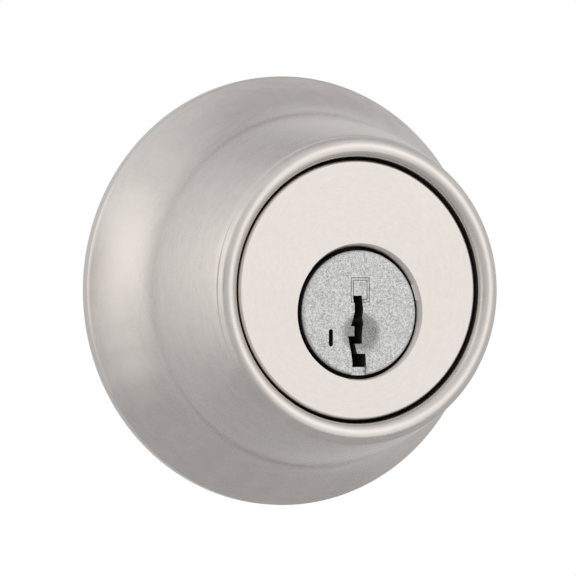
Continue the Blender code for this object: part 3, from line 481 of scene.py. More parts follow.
def make_stem(side):
    low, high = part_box(f"mounting_stem_{side}")
    radius = (high.x - low.x) / 2
    across = (low.x + high.x) / 2
    front, back = -low.y, -high.y
    crest, root, pitch = 1.9 * MM, 2.12 * MM, 0.8 * MM
    start = back + 14.0 * MM
    profile = [(0.0, front), (radius - 0.4 * MM, front), (radius, front - 0.4 * MM)]
    profile += [(radius, back + 0.35 * MM), (radius - 0.35 * MM, back), (root + 0.2 * MM, back)]
    height = back + 0.3 * MM
    while height < start - 2 * pitch:
        profile += [(root, height + 0.1 * MM), (crest, height + 0.4 * MM), (crest, height + 0.5 * MM)]
        height += pitch
    profile += [(crest, start - 0.6 * MM), (0.0, start)]
    stem = turned(f"stem_{side}", profile, 64, (across, PLUG_UP))
    place(stem, "core", [f"mounting_stem_{side}"], plated_steel)


make_stem("left")
make_stem("right")


# ------------------------------------------------------------------ adapter_ring
# The pressed steel ring that centres the lock in the door's bore: a flat flange against the door
# and a short lip that drops into the hole. Zinc plated, with rounded press corners.

def make_adapter_ring():
    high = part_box("adapter_ring")[1]
    outer, depth = high.x, high.y
    inner, lip, wall, thick = 17.3 * MM, 26.8 * MM, 1.2 * MM, 1.0 * MM
    profile = softened([
        (inner, thick), (outer, thick), (outer, 0.0), (lip, 0.0), (lip, -depth), (lip - wall, -depth),
        (lip - wall, 0.0), (inner, 0.0)], 0.3 * MM)
    place(turned("adapter", profile, 144), "core", ["adapter_ring"], plated_steel)


make_adapter_ring()


# ------------------------------------------------------------------ guard
# The tapered collar that spins freely round the core, spun from sheet metal: it flares to the
# door, narrows to a waist and ends in a rolled rim. Satin nickel plate, brushed round and round.

GUARD_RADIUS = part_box("guard_shell")[1].x
GUARD_EDGE = 2.0 * MM
GUARD_WALL = 1.3 * MM
RIM_TUBE = 1.46 * MM
RIM_INNER = 19.6 * MM
RIM_CENTRE = RIM_INNER + RIM_TUBE
RIM_HEIGHT = -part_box("guard_shell")[0].y - RIM_TUBE
NECK_INSIDE = RIM_CENTRE + RIM_TUBE / 2
WAIST = (26.4 * MM, 12.5 * MM)
WAIST_SLOPE = math.radians(5)
LIP_TOP = HEAD_BACK - GAP
LIP_BOTTOM = LIP_TOP - 1.4 * MM
LINER_INNER = 17.6 * MM


def make_guard_shell():
    edge = [(GUARD_RADIUS - 0.25 * MM, 0.0), (GUARD_RADIUS - 0.03 * MM, 0.10 * MM),
            (GUARD_RADIUS, 0.3 * MM), (GUARD_RADIUS, GUARD_EDGE - 0.35 * MM),
            (GUARD_RADIUS - 0.02 * MM, GUARD_EDGE - 0.12 * MM)]
    flare = bend((GUARD_RADIUS - 0.1 * MM, GUARD_EDGE), math.radians(47), WAIST, WAIST_SLOPE, 30)
    neck = (WAIST[0] - 2.5 * MM * math.tan(math.radians(7.9)), WAIST[1] + 2.5 * MM)
    groove = arc((RIM_CENTRE, RIM_HEIGHT), RIM_TUBE, 14, 14, 1)[0]
    end = (groove[0] + 0.3 * MM, groove[1] - 0.2 * MM)
    waist = bend(WAIST, WAIST_SLOPE, neck, math.radians(10.8), 6)[1:]
    upper = bend(neck, math.radians(10.8), end, math.radians(18), 18)[1:-1]
    shoulder = [(end[0] + 0.02 * MM, end[1] - 0.12 * MM), (end[0] - 0.05 * MM, end[1] + 0.01 * MM),
                (end[0] - 0.14 * MM, end[1] + 0.08 * MM)]
    rim = arc((RIM_CENTRE, RIM_HEIGHT), RIM_TUBE, 14, 180, 28)
    inner_waist = (WAIST[0] - GUARD_WALL, WAIST[1])
    inner_edge = (GUARD_RADIUS - GUARD_WALL, GUARD_EDGE / 2)
    inner_flare = bend(inner_edge, math.radians(47), inner_waist, WAIST_SLOPE, 16)[::-1]
    lip = [(RIM_INNER, LIP_TOP), (LINER_INNER + 0.1 * MM, LIP_TOP), (LINER_INNER, LIP_TOP - 0.1 * MM),
           (LINER_INNER, LIP_BOTTOM + 0.1 * MM), (LINER_INNER + 0.1 * MM, LIP_BOTTOM),
           (NECK_INSIDE, LIP_BOTTOM)]
    profile = edge + flare + waist + upper + shoulder + rim + lip + inner_flare
    profile.append((GUARD_RADIUS - GUARD_WALL, 0.0))
    return turned("guard_cone", profile, 192)


guard_satin = make_satin("guard_satin_nickel", SATIN_NICKEL, 6000.0, 9.0, 0.10, 0.27)
guard_piece = make_guard_shell()
place(guard_piece, "guard", ["guard_shell"], guard_satin)
# The inside of the guard's rim and lip gets painted shade.
second_finish(guard_piece, gap_painted_shade, lambda point: -point.y < RIM_HEIGHT - 1.5 * MM
              and math.hypot(point.x, point.z) < RIM_INNER + 0.05 * MM)


# ------------------------------------------------------------------ guard_liner
# The sleeve between the spinning guard and the core, moulded in black plastic with a flange at the
# front that keeps the two metals apart.

liner_plastic = make_plain("liner_plastic", (0.045, 0.045, 0.05), 0.0, 0.5, 1500.0, 0.15, 0.15)


def make_guard_liner():
    low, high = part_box("guard_liner")
    front, back, outer = -low.y, -high.y, high.x
    wall = 1.2 * MM
    profile = softened([
        (LINER_INNER, front), (outer, front), (outer, front - wall), (LINER_INNER + wall, front - wall),
        (LINER_INNER + wall, back), (LINER_INNER, back)], 0.2 * MM)
    place(turned("liner", profile, 128), "guard", ["guard_liner"], liner_plastic)


make_guard_liner()


# ------------------------------------------------------------------ plug
# The plug that the key turns, die cast in zinc and tumbled, so that its face is matt and grainy.
# The face carries the keyway in its round dish, the narrow slot for the re-keying tool, a shallow
# channel below and a fine stamped frame round the top of the keyway.

PLUG_FACE = -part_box("plug")[0].y
PLUG_HEAD_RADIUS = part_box("plug")[1].x
HEAD_ROUND = 0.45 * MM
KEYWAY = [
    (0.39, 2.53), (0.46, 1.55), (0.59, 0.46), (0.54, -0.77), (0.78, -1.52), (0.69, -2.27),
    (0.60, -3.49), (0.54, -4.56), (-0.60, -4.56), (-0.44, -5.60), (-0.30, -6.01), (0.95, -6.01),
    (1.08, -7.99), (-1.10, -7.99), (-1.40, -5.54), (-1.67, -3.43), (-0.63, -3.43), (-0.63, -2.00),
    (-1.22, -1.93), (-0.92, -0.77), (-0.80, 0.18), (-0.80, 1.41), (-0.95, 1.55), (-0.95, 2.53),
]
KEY_DISH = (0.18 * MM, -3.0 * MM)
KEY_DISH_RADIUS = 3.2 * MM
TOOL_SLOT = (-4.64 * MM, -3.66 * MM)
LINE_WIDTH = 0.09 * MM
LINE_DEPTH = 0.12 * MM


def make_grain():
    """The fine, sparkling grain of a tumbled casting, as two masks and a normal."""
    group, given, out = new_group(
        "cast_grain", [("Vector", "Vector", None), ("Scale", "Float", 5200.0), ("Depth", "Float", 0.4)],
        [("Grain", "Float"), ("Pits", "Float"), ("Normal", "Vector")])
    cells = group.nodes.new("ShaderNodeTexVoronoi")
    group.links.new(given.outputs["Vector"], cells.inputs["Vector"])
    group.links.new(given.outputs["Scale"], cells.inputs["Scale"])
    fine = group.nodes.new("ShaderNodeTexNoise")
    fine.inputs["Detail"].default_value = 4.0
    fine.inputs["Roughness"].default_value = 0.7
    group.links.new(given.outputs["Vector"], fine.inputs["Vector"])
    group.links.new(math_node(group, "MULTIPLY", given.outputs["Scale"], 0.6), fine.inputs["Scale"])
    grain = math_node(group, "MULTIPLY_ADD", cells.outputs["Distance"], 0.35,
                      math_node(group, "MULTIPLY", fine.outputs["Fac"], 0.65))
    pits = noise(group, given.outputs["Vector"], 2600.0, 3.0, 0.6)
    bump = group.nodes.new("ShaderNodeBump")
    bump.inputs["Distance"].default_value = 0.06 * MM
    group.links.new(given.outputs["Depth"], bump.inputs["Strength"])
    group.links.new(grain, bump.inputs["Height"])
    group.links.new(grain, out.inputs["Grain"])
    group.links.new(pits, out.inputs["Pits"])
    group.links.new(bump.outputs["Normal"], out.inputs["Normal"])
    return group


cast_grain = make_grain()


def make_cast(name, colour, roughness, depth, dish=False):
    """Tumbled zinc: matt, speckled and grainy; with dish, painted shade darkens it in the key dish."""
    material, tree, shader, vector = new_finish(name, 1.0, roughness)
    grain = tree.nodes.new("ShaderNodeGroup")
    grain.node_tree = cast_grain
    grain.inputs["Depth"].default_value = depth
    tree.links.new(vector, grain.inputs["Vector"])
    mixed = math_node(tree, "MULTIPLY_ADD", grain.outputs["Pits"], 0.25,
                      math_node(tree, "MULTIPLY", grain.outputs["Grain"], 0.75))
    tint = between(tree, mixed, 0.38, 0.58, shade(colour, 0.64), shade(colour, 1.18))
    if dish:
        # Painted shade: the colour darkens towards the middle of the key dish, where shade falls.
        away = tree.nodes.new("ShaderNodeVectorMath")
        away.operation = "DISTANCE"
        tree.links.new(vector, away.inputs[0])
        away.inputs[1].default_value = (KEY_DISH[0] + 0.15 * MM, -PLUG_FACE, KEY_DISH[1] + PLUG_UP)
        dish_shade_level = ranged(tree, away.outputs["Value"], 2.2 * MM, 3.3 * MM, 0.55, 1.0)
        dish_shade = tree.nodes.new("ShaderNodeVectorMath")
        dish_shade.operation = "SCALE"
        tree.links.new(tint, dish_shade.inputs[0])
        tree.links.new(dish_shade_level, dish_shade.inputs["Scale"])
        tint = dish_shade.outputs["Vector"]
    tree.links.new(tint, shader.inputs["Base Color"])
    tree.links.new(ranged(tree, mixed, 0.3, 0.65, roughness + 0.1, roughness - 0.06),
                   shader.inputs["Roughness"])
    tree.links.new(grain.outputs["Normal"], shader.inputs["Normal"])
    return material


cast_zinc = make_cast("cast_zinc", (0.58, 0.58, 0.57), 0.50, 0.9)
# The plug's copy of the zinc, with painted shade in its key dish.
plug_zinc_dish_shade = make_cast("plug_zinc_dish_shade", (0.58, 0.58, 0.57), 0.50, 0.9, True)


def plug_outline(points, scale=MM):
    """An outline given from the plug's axis, moved to where the plug lies."""
    return [(x * scale, z * scale + PLUG_UP) for x, z in points]


def stadium(x, z, half, reach, steps=10):
    """The outline of an upright slot with round ends."""
    centre_up = z + PLUG_UP
    return arc((x, centre_up + reach), half, 0, 180, steps) + arc((x, centre_up - reach), half, 180, 360, steps)


def plug_block(name, left, right, bottom, top, back, front):
    """A box given from the plug's axis."""
    return block(name, left, right, bottom + PLUG_UP, top + PLUG_UP, back, front)


def make_plug():
    tail = CORE_BACK - GAP
    groove_back = tail - 1.0 * MM
    spigot_front = groove_back - 1.0 * MM
    spigot_end = spigot_front - 3.1 * MM
    edge = arc((PLUG_HEAD_RADIUS - HEAD_ROUND, PLUG_FACE - HEAD_ROUND), HEAD_ROUND, 90, 0, 8)
    profile = softened([(0.0, PLUG_FACE)] + edge + [
        (PLUG_HEAD_RADIUS, FACE_HEIGHT - 0.3 * MM),
        (PLUG_HEAD_RADIUS, PLUG_FACE - 3.0 * MM), (8.8 * MM, PLUG_FACE - 3.0 * MM),
        (8.8 * MM, tail), (6.6 * MM, tail), (6.6 * MM, groove_back),
        (7.5 * MM, groove_back), (7.5 * MM, spigot_front), (4.6 * MM, spigot_front),
        (4.6 * MM, spigot_end), (0.0, spigot_end)], 0.12 * MM)
    plug = turned("key_plug", profile, 144, (0.0, PLUG_UP))
    dish = [(0.0, PLUG_FACE + OVERRUN), (KEY_DISH_RADIUS, PLUG_FACE + OVERRUN)]
    for step in range(13):
        reach = KEY_DISH_RADIUS * (1 - step / 12)
        dish.append((reach, PLUG_FACE - 0.5 * MM * (1 - (reach / KEY_DISH_RADIUS) ** 2)))
    front = PLUG_FACE + OVERRUN
    low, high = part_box("rack_carriage")
    tools = [
        turned("key dish", dish, 72, (KEY_DISH[0], KEY_DISH[1] + PLUG_UP)),
        plate("keyway", plug_outline(KEYWAY), PLUG_FACE - 26.1 * MM, front),
        plate("tool slot", stadium(*TOOL_SLOT, 0.335 * MM, 0.94 * MM), -low.y, front),
        plug_block("channel", -1.2 * MM, 1.1 * MM, -12.0 * MM, -7.7 * MM, PLUG_FACE - 0.45 * MM, front)]
    tools.append(plug_block("rack window", -11.0 * MM, -1.15 * MM, -1.2 * MM, 6.1 * MM,
                            -high.y - 2.6 * MM, -low.y + GAP))
    tools.append(plug_block("foot pocket", -5.37 * MM, -3.47 * MM, low.z - PLUG_UP - GAP, 0.8 * MM,
                            -low.y - 3.1 * MM, -low.y + GAP))
    for number in range(1, 6):
        pin_low, pin_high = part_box(f"key_pin_{number}")
        tools.append(upright_bar("chamber", 1.55 * MM, pin_low.z - GAP, PLUG_UP + 8.0 * MM,
                                 -(pin_low.y + pin_high.y) / 2, (pin_low.x + pin_high.x) / 2))
    low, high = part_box("spring_cover")
    tools.append(block("cover slot", low.x - GAP, high.x + GAP, low.z - GAP, PLUG_UP + 11.0 * MM,
                       -high.y - GAP, -low.y + GAP))
    low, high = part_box("carriage_spring")
    tools.append(bar("carriage spring hole", (high.x - low.x) / 2 + GAP, -high.y - GAP, 2.9 * MM,
                     ((low.x + high.x) / 2, (low.z + high.z) / 2), 32))
    low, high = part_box("cup_roll_pin")
    tools.append(cross_bar("roll pin hole", 1.05 * MM, -9.0 * MM, 9.0 * MM, -(low.y + high.y) / 2, PLUG_UP))
    low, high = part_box("sidebar")
    slot_right = high.x + 0.9 * MM
    tools.append(block("sidebar slot", -11.0 * MM, slot_right, low.z - GAP, high.z + GAP, -high.y - GAP,
                       -low.y + GAP))
    for end in ("front", "rear"):
        low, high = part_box(f"sidebar_spring_{end}")
        tools.append(cross_bar("sidebar spring hole", (high.z - low.z) / 2 + GAP, slot_right - GAP,
                               high.x + GAP, -(low.y + high.y) / 2, (low.z + high.z) / 2))
    shaped(plug, tools)
    for inset in (0.0, 0.36 * MM):
        near, far = inset, inset + LINE_WIDTH
        line = plug_block("stamped line", -1.40 * MM + near, 1.62 * MM - near, 1.55 * MM + near,
                          5.2 * MM - near, PLUG_FACE - LINE_DEPTH, front)
        middle = plug_block("line middle", -1.40 * MM + far, 1.62 * MM - far, 1.55 * MM + far,
                            5.2 * MM - far, 0.0, front + OVERRUN)
        shaped(plug, [shaped(line, [middle])])

    def on_face(point):
        off_axis = math.hypot(point.x, point.z - PLUG_UP)
        return (-point.y > PLUG_FACE - 0.58 * MM and off_axis < PLUG_HEAD_RADIUS - 0.5 * MM
                and not in_stamped_frame(point))

    return eased(plug, on_face, 0.05 * MM, 2)


def in_stamped_frame(point):
    """Whether a place lies in the stamped frame round the keyway's top, outside the keyway itself."""
    across, up = point.x - 0.11 * MM, point.z - PLUG_UP
    beside_key = abs(across + 0.33 * MM) > 0.85 * MM or up > 2.62 * MM
    return abs(across) < 1.6 * MM and 1.5 * MM < up < 5.25 * MM and beside_key


def plug_shadow(point):
    """The plug's faces that lie out of the light: below the core's face, and in the stamped lines."""
    height = -point.y
    in_line = in_stamped_frame(point) and PLUG_FACE - 0.2 * MM < height < PLUG_FACE - 0.03 * MM
    return in_line or 20 * MM < height < FACE_HEIGHT - 0.3 * MM


plug_piece = make_plug()
place(plug_piece, "plug", ["plug"], plug_zinc_dish_shade)
# The plug's faces below the core's face and the walls of the stamped lines get painted shade.
second_finish(plug_piece, gap_painted_shade, plug_shadow)


# ------------------------------------------------------------------ spring_cover
# The steel strip pushed into the slot over the pin chambers, which closes them and takes the
# thrust of the springs. Blanked from zinc-plated strip, with its edges tumbled round.

def make_cover():
    low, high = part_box("spring_cover")
    cover = block("cover_strip", low.x, high.x, low.z, high.z, -high.y, -low.y)
    eased(cover, lambda point: True, 0.12 * MM, 3)
    place(cover, "plug", ["spring_cover"], plated_steel)


make_cover()


# ------------------------------------------------------------------ key_pin_1 to key_pin_5
# Turned brass pins that the key lifts. Each has a blunt cone at the bottom where it rides on the
# key's cuts, and three ring grooves that the teeth of its rack sit in.

brass = make_plain("brass", (0.78, 0.60, 0.30), 1.0, 0.30, 1500.0, 0.05)


def make_key_pin(number):
    low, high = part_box(f"key_pin_{number}")
    centre = (low + high) / 2
    radius, core = (high.x - low.x) / 2, 0.75 * MM
    outline = [(0.0, low.z), (0.7 * MM, low.z), (radius, low.z + 0.25 * MM)]
    for i in range(3):
        middle = PLUG_UP + (0.1 + 1.25 * i) * MM
        for reach, sign in ((radius, -1), (core, -1), (core, 1), (radius, 1)):
            outline.append((reach, middle + sign * 0.475 * MM))
    outline += [(radius, high.z), (0.0, high.z)]
    pin = turned(f"pin_{number}", softened(outline, 0.08 * MM), 48)
    for vert in pin.data.vertices:
        x, y, z = vert.co
        vert.co = (x + centre.x, z + centre.y, -y)
    place(pin, f"pin_{number}", [f"key_pin_{number}"], brass)


for number in range(1, 6):
    make_key_pin(number)


# ------------------------------------------------------------------ pin, carriage and sidebar springs
# Small compression springs coiled from bright spring-steel wire. A pin spring pushes its pin down,
# the carriage spring pushes the racks forward, and two more push the sidebar out into the core.

spring_steel = make_plain("spring_steel", (0.56, 0.55, 0.53), 1.0, 0.26, 2500.0, 0.05)


def make_spring(node, name, axis, turns):
    """A coil in its CAD box, with closed end turns, that flattens towards its fixed end."""
    low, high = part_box(node)
    side = {"X": (1, 2, 0), "Y": (2, 0, 1), "Z": (0, 1, 2)}[axis]
    wire = 0.15 * MM
    middle = (low + high) / 2
    radius = (high[side[0]] - low[side[0]]) / 2 - wire
    length = high[side[2]] - low[side[2]] - 2 * wire
    steps, ring = 28, 10
    count = (turns + 1) * steps
    bm = bmesh.new()
    loops = []
    for i in range(count + 1):
        angle = 2 * math.pi * i / steps
        part = i / count
        eased_part = min(max((part - 0.10) / 0.80, 0.0), 1.0)
        rise = length * (0.06 * part + 0.94 * eased_part)
        out = (math.cos(angle), math.sin(angle))
        loop = []
        for k in range(ring):
            turn = 2 * math.pi * k / ring
            reach = radius + wire * math.cos(turn)
            place_at = [0.0, 0.0, 0.0]
            place_at[side[0]] = middle[side[0]] + reach * out[0]
            place_at[side[1]] = middle[side[1]] + reach * out[1]
            place_at[side[2]] = low[side[2]] + wire + rise + wire * math.sin(turn)
            loop.append(bm.verts.new(place_at))
        loops.append(loop)
    for first, second in zip(loops, loops[1:]):
        for k in range(ring):
            bm.faces.new((first[k], first[(k + 1) % ring], second[(k + 1) % ring], second[k]))
    bm.faces.new(loops[0])
    bm.faces.new(loops[-1][::-1])
    bmesh.ops.recalc_face_normals(bm, faces=bm.faces[:])
    coil = new_piece(name, bm, 60)
    place(coil, "plug", [node], spring_steel)
    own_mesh(coil)


for number in range(1, 6):
    make_spring(f"pin_spring_{number}", f"spring_{number}", "Z", 5)
make_spring("carriage_spring", "comb_spring", "Y", 6)
for end in ("front", "rear"):
    make_spring(f"sidebar_spring_{end}", f"bar_spring_{end}", "X", 4)


# ------------------------------------------------------------------ rack_1 to rack_5
# Flat steel racks, fine-blanked, whose teeth sit in the grooves of the pins. The back of each has
# the notch that lets the sidebar in when its pin is at the right height.

def make_rack(number):
    low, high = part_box(f"rack_{number}")
    tip = high.x
    body = tip - 0.5 * MM
    outline = [(low.x, low.z), (body, low.z)]
    for i in range(3):
        middle = PLUG_UP + (0.1 + 1.25 * i) * MM
        outline += [(body, middle - 0.175 * MM), (tip, middle - 0.175 * MM),
                    (tip, middle + 0.175 * MM), (body, middle + 0.175 * MM)]
    outline += [(body, high.z), (low.x, high.z)]
    rack = plate(f"rack_plate_{number}", outline, -high.y, -low.y)
    eased(rack, lambda point: True, 0.05 * MM, 2)
    place(rack, f"rack_{number}", [f"rack_{number}"], plated_steel)


for number in range(1, 6):
    make_rack(number)


# ------------------------------------------------------------------ rack_carriage
# The comb that carries the racks: two rails joined by fingers, with a foot behind the tool slot.
# Sintered steel, plated, its edges slightly rounded by tumbling.

def make_carriage():
    low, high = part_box("rack_carriage")
    bar_low, bar_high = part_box("sidebar")
    rail_right = -5.1 * MM
    bottom = -0.9 * MM + PLUG_UP
    notch_low, notch_high = bar_low.z - GAP, bar_high.z + GAP
    comb = block("comb", low.x, rail_right, notch_high, high.z, -high.y, -low.y)
    tools = [block("lower rail", low.x, rail_right, bottom, notch_low, -high.y, -low.y)]
    edges = [-low.y]
    for number in range(1, 6):
        rack_low, rack_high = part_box(f"rack_{number}")
        edges += [-rack_low.y + GAP, -rack_high.y - GAP]
    edges.append(-high.y)
    left = rail_right - 0.1 * MM
    notch = bar_high.x + 0.9 * MM
    outline = [(high.x, bottom), (high.x, high.z), (left, high.z), (left, notch_high),
               (notch, notch_high), (notch, notch_low), (left, notch_low), (left, bottom)]
    for front, back in zip(edges[::2], edges[1::2]):
        tools.append(plate("finger", outline, back, front))
    shaped(comb, tools, "UNION")
    foot = block("foot", TOOL_SLOT[0] - 0.65 * MM, TOOL_SLOT[0] + 0.65 * MM, low.z, bottom + 0.5 * MM,
                 -low.y - 0.9 * MM, -low.y)
    shaped(comb, [foot], "UNION")
    eased(comb, lambda point: True, 0.06 * MM, 2)
    place(comb, "carriage", ["rack_carriage"], plated_steel)


make_carriage()


# ------------------------------------------------------------------ sidebar
# The brass bar that locks the plug to the core. Its outer edge is bevelled so that turning the
# plug pushes it in, once every rack lets it move. Drawn bar, cut to length.

def make_sidebar():
    low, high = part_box("sidebar")
    nose = 0.5 * MM
    outline = [(high.x, low.z), (high.x, high.z), (low.x + nose, high.z), (low.x, high.z - nose),
               (low.x, low.z + nose), (low.x + nose, low.z)]
    piece = plate("locking_bar", outline, -high.y, -low.y)
    eased(piece, lambda point: True, 0.08 * MM, 3)
    place(piece, "sidebar", ["sidebar"], brass)


make_sidebar()


# ------------------------------------------------------------------ retaining_clip
# The E-clip that snaps into the groove at the plug's back and holds it in the core. Stamped from
# spring steel, with three inner pads, rounded horns and an open bottom.

def make_clip():
    low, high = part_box("retaining_clip")
    outer = (high.x - low.x) / 2
    inner = 6.9 * MM
    front, back = -low.y, -high.y
    profile = softened([(inner, front), (outer, front), (outer, back), (inner, back)], 0.10 * MM)
    clip = turned("e_clip", profile, 128, (0.0, PLUG_UP))
    tools = [block("opening", -4.0 * MM, 4.0 * MM, PLUG_UP - 12.0 * MM, PLUG_UP, back - OVERRUN,
                   front + OVERRUN)]
    for angle in (35, 145):
        centre = arc((0.0, PLUG_UP), inner + 0.1 * MM, angle, angle, 1)[0]
        tools.append(bar("relief", 0.9 * MM, back - OVERRUN, front + OVERRUN, centre, 40))
    shaped(clip, tools)
    eased(clip, lambda point: abs(point.y + (front + back) / 2) < 0.2 * MM, 0.25 * MM, 4)
    place(clip, "plug", ["retaining_clip"], spring_steel)


make_clip()


# ------------------------------------------------------------------ drive_cup
# The die-cast cup pinned to the plug's tail. Two lugs inside it push the blade's wings round, with
# a quarter turn of play between them. Tumbled zinc, with cast corners.

def make_cup():
    low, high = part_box("drive_cup")
    front, back = -low.y, -high.y
    outer, wall = high.x, 1.9 * MM
    bore, hole = outer - wall, 4.9 * MM
    floor = front - 3.0 * MM
    profile = softened([
        (hole, front), (outer, front), (outer, back), (bore, back), (bore, floor), (hole, floor)], 0.3 * MM)
    cup = turned("cup", profile, 128, (0.0, PLUG_UP))
    tools = []
    for middle in (90, 270):
        root = bore + wall / 2
        outline = arc((0.0, PLUG_UP), 3.2 * MM, middle - 20, middle + 20, 10)
        outline += arc((0.0, PLUG_UP), root, middle + 20, middle - 20, 10)
        tools.append(plate("lug", outline, floor - 3.2 * MM, floor - GAP / 2))
    shaped(cup, tools, "UNION")
    pin_low, pin_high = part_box("cup_roll_pin")
    shaped(cup, [cross_bar("pin hole", 1.05 * MM, -9.5 * MM, 9.5 * MM, -(pin_low.y + pin_high.y) / 2, PLUG_UP)])
    eased(cup, lambda point: -point.y < floor and math.hypot(point.x, point.z - PLUG_UP) < bore - 0.2 * MM,
          0.2 * MM, 3)
    place(cup, "plug", ["drive_cup"], cast_zinc)


make_cup()


# ------------------------------------------------------------------ cup_roll_pin
# The rolled spring pin driven across the cup and the spigot. Bent from spring-steel strip, so it
# is hollow, with a slit along one side and ends swaged in a little.

def make_roll_pin():
    low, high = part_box("cup_roll_pin")
    radius = (high.z - low.z) / 2
    height, up = -(low.y + high.y) / 2, (low.z + high.z) / 2
    inner = radius - 0.22 * MM
    outline = arc((0.0, 0.0), radius, 12, 348, 40) + arc((0.0, 0.0), inner, 346, 14, 36)
    bm = bmesh.new()
    rings = []
    ends = [(low.x, 0.88), (low.x + 0.25 * MM, 1.0), (high.x - 0.25 * MM, 1.0), (high.x, 0.88)]
    for across, share in ends:
        rings.append([bm.verts.new((across, -height + y * share, up + z * share)) for y, z in outline])
    for first, second in zip(rings, rings[1:]):
        for k in range(len(outline)):
            nxt = (k + 1) % len(outline)
            bm.faces.new((first[k], first[nxt], second[nxt], second[k]))
    bm.faces.new(rings[0][::-1])
    bm.faces.new(rings[-1])
    bmesh.ops.recalc_face_normals(bm, faces=bm.faces[:])
    place(new_piece("roll_pin", bm), "plug", ["cup_roll_pin"], spring_steel)


make_roll_pin()


# ------------------------------------------------------------------ blade_retainer
# The steel ring pressed into the cup behind its lugs, which keeps the blade's head in. Blanked
# from plated strip, with one rounded and one sharp edge.

def make_retainer():
    low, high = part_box("blade_retainer")
    profile = softened([
        (3.55 * MM, -low.y), (high.x, -low.y), (high.x, -high.y), (3.55 * MM, -high.y)], 0.15 * MM)
    ring = turned("retainer_ring", profile, 96, (0.0, PLUG_UP))
    place(ring, "plug", ["blade_retainer"], plated_steel)


make_retainer()


# ------------------------------------------------------------------ torque_blade
# The long half-round tail that goes through the bolt, headed with two wings for the cup's lugs.
# Cold-formed steel bar, zinc plated, with its end broken so that it slips into the bolt.

def make_blade():
    low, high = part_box("torque_blade")
    front, back = -low.y, -high.y
    wing_back = front - 2.6 * MM
    points = []
    for side in (0, 180):
        start = 45 + side
        points += arc((0.0, PLUG_UP), 5.3 * MM, start - 22, start + 22, 12)
        points += arc((0.0, PLUG_UP), 2.8 * MM, start + 22, start + 158, 24)
    blade = plate("tail_blade", points, wing_back, front)
    flat = 0.5 * MM
    angle = math.degrees(math.asin(flat / (3.1 * MM)))
    section = arc((0.0, PLUG_UP), 3.1 * MM, 180 - angle, 360 + angle, 40)
    shaped(blade, [plate("tail bar", section, back, wing_back + GAP)], "UNION")
    eased(blade, lambda point: -point.y < back + 0.1 * MM or abs(point.z - PLUG_UP - flat) < 0.05 * MM
          or -point.y > front - 0.05 * MM, 0.18 * MM, 3)
    place(blade, "blade", ["torque_blade"], plated_steel)


make_blade()


# ------------------------------------------------------------------ floor and light
# A plain white studio: a pale floor well below the lock, a white background, and soft light that
# comes mostly from the camera's side and the left.

scene = bpy.context.scene
scene.view_settings.view_transform = "Standard"


def make_floor():
    bm = bmesh.new()
    bmesh.ops.create_circle(bm, cap_ends=True, segments=64, radius=0.30)
    bmesh.ops.translate(bm, verts=bm.verts[:], vec=(0.0, 0.0, -0.26))
    floor = new_piece("floor", bm)
    material, tree, shader, vector = new_finish("floor_white", 0.0, 0.9)
    paper = noise(tree, vector, 60.0, 3.0)
    tint = between(tree, paper, 0.3, 0.7, (0.60, 0.60, 0.60), (0.63, 0.63, 0.63))
    tree.links.new(tint, shader.inputs["Base Color"])
    glow = tree.nodes.new("ShaderNodeEmission")
    path = tree.nodes.new("ShaderNodeLightPath")
    choose = tree.nodes.new("ShaderNodeMixShader")
    tree.links.new(path.outputs["Is Camera Ray"], choose.inputs["Fac"])
    tree.links.new(shader.outputs[0], choose.inputs[1])
    tree.links.new(glow.outputs[0], choose.inputs[2])
    tree.links.new(choose.outputs[0], tree.nodes["Material Output"].inputs["Surface"])
    floor.data.materials.append(material)


make_floor()


def panel(tree, direction, turn, lift, sharpness, strength):
    """The glow of one soft panel, seen in a direction: strongest at its middle, fading all round."""
    turn, lift = math.radians(turn), math.radians(lift)
    aim = tree.nodes.new("ShaderNodeVectorMath")
    aim.operation = "DOT_PRODUCT"
    tree.links.new(direction, aim.inputs[0])
    aim.inputs[1].default_value = (math.sin(turn) * math.cos(lift), -math.cos(turn) * math.cos(lift),
                                   math.sin(lift))
    falloff = math_node(tree, "MULTIPLY_ADD", aim.outputs["Value"], sharpness, -sharpness)
    return math_node(tree, "MULTIPLY", math_node(tree, "EXPONENT", falloff), strength)


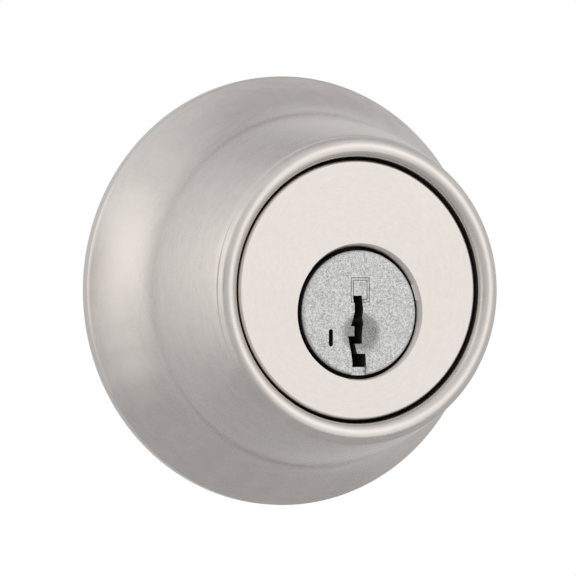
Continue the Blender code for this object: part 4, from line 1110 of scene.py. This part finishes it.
def make_world():
    """White behind the lock; for light and reflections a grey room with two big soft panels."""
    world = bpy.data.worlds.new("studio")
    scene.world = world
    world.use_nodes = True
    tree = world.node_tree
    background = tree.nodes["Background"]
    direction = tree.nodes.new("ShaderNodeTexCoord").outputs["Generated"]
    split = tree.nodes.new("ShaderNodeSeparateXYZ")
    tree.links.new(direction, split.inputs[0])
    room = math_node(tree, "MULTIPLY_ADD", split.outputs["Z"], 0.19, 0.70)
    for turn, lift, sharpness, strength in (
            (150, 75, 10, 0.30), (180, 45, 25, 0.19), (120, 45, 25, 0.21), (-62, 5, 40, 0.50)):
        room = math_node(tree, "SUBTRACT", room, panel(tree, direction, turn, lift, sharpness, strength))
    warm = panel(tree, direction, -105, 15, 10, 0.51)
    for turn, lift, sharpness, strength in (
            (-75, 0, 25, 0.39), (-75, 30, 25, 0.30), (-90, -30, 25, 0.24), (-120, -15, 25, 0.13),
            (30, 15, 10, 0.76), (30, -30, 10, 0.46)):
        warm = math_node(tree, "ADD", warm, panel(tree, direction, turn, lift, sharpness, strength))
    level = math_node(tree, "ADD", room, warm)
    share = math_node(tree, "DIVIDE", warm, level)
    mix = tree.nodes.new("ShaderNodeMix")
    mix.data_type = "RGBA"
    tree.links.new(share, mix.inputs["Factor"])
    mix.inputs["A"].default_value = (0.985, 0.995, 1.02, 1.0)
    mix.inputs["B"].default_value = (1.02, 1.0, 0.975, 1.0)
    tree.links.new(mix.outputs["Result"], background.inputs["Color"])
    tree.links.new(level, background.inputs["Strength"])
    plain = tree.nodes.new("ShaderNodeBackground")
    plain.inputs["Color"].default_value = (1.0, 1.0, 1.0, 1.0)
    plain.inputs["Strength"].default_value = 1.0
    path = tree.nodes.new("ShaderNodeLightPath")
    choose = tree.nodes.new("ShaderNodeMixShader")
    tree.links.new(path.outputs["Is Camera Ray"], choose.inputs["Fac"])
    tree.links.new(background.outputs[0], choose.inputs[1])
    tree.links.new(plain.outputs[0], choose.inputs[2])
    tree.links.new(choose.outputs[0], tree.nodes["World Output"].inputs["Surface"])


make_world()


def make_camera():
    turn, lift, distance = math.radians(24.04), math.radians(-0.22), 0.8
    back = Vector((-math.sin(turn) * math.cos(lift), -math.cos(turn) * math.cos(lift), math.sin(lift)))
    data = bpy.data.cameras.new("camera")
    data.sensor_width = 36.0
    data.lens = 329.1
    data.shift_x = 0.01215
    data.shift_y = 0.0047
    camera = bpy.data.objects.new("camera", data)
    scene.collection.objects.link(camera)
    camera.rotation_mode = "QUATERNION"
    camera.location = back * distance
    camera.rotation_quaternion = (-back).to_track_quat("-Z", "Y")
    scene.camera = camera


make_camera()
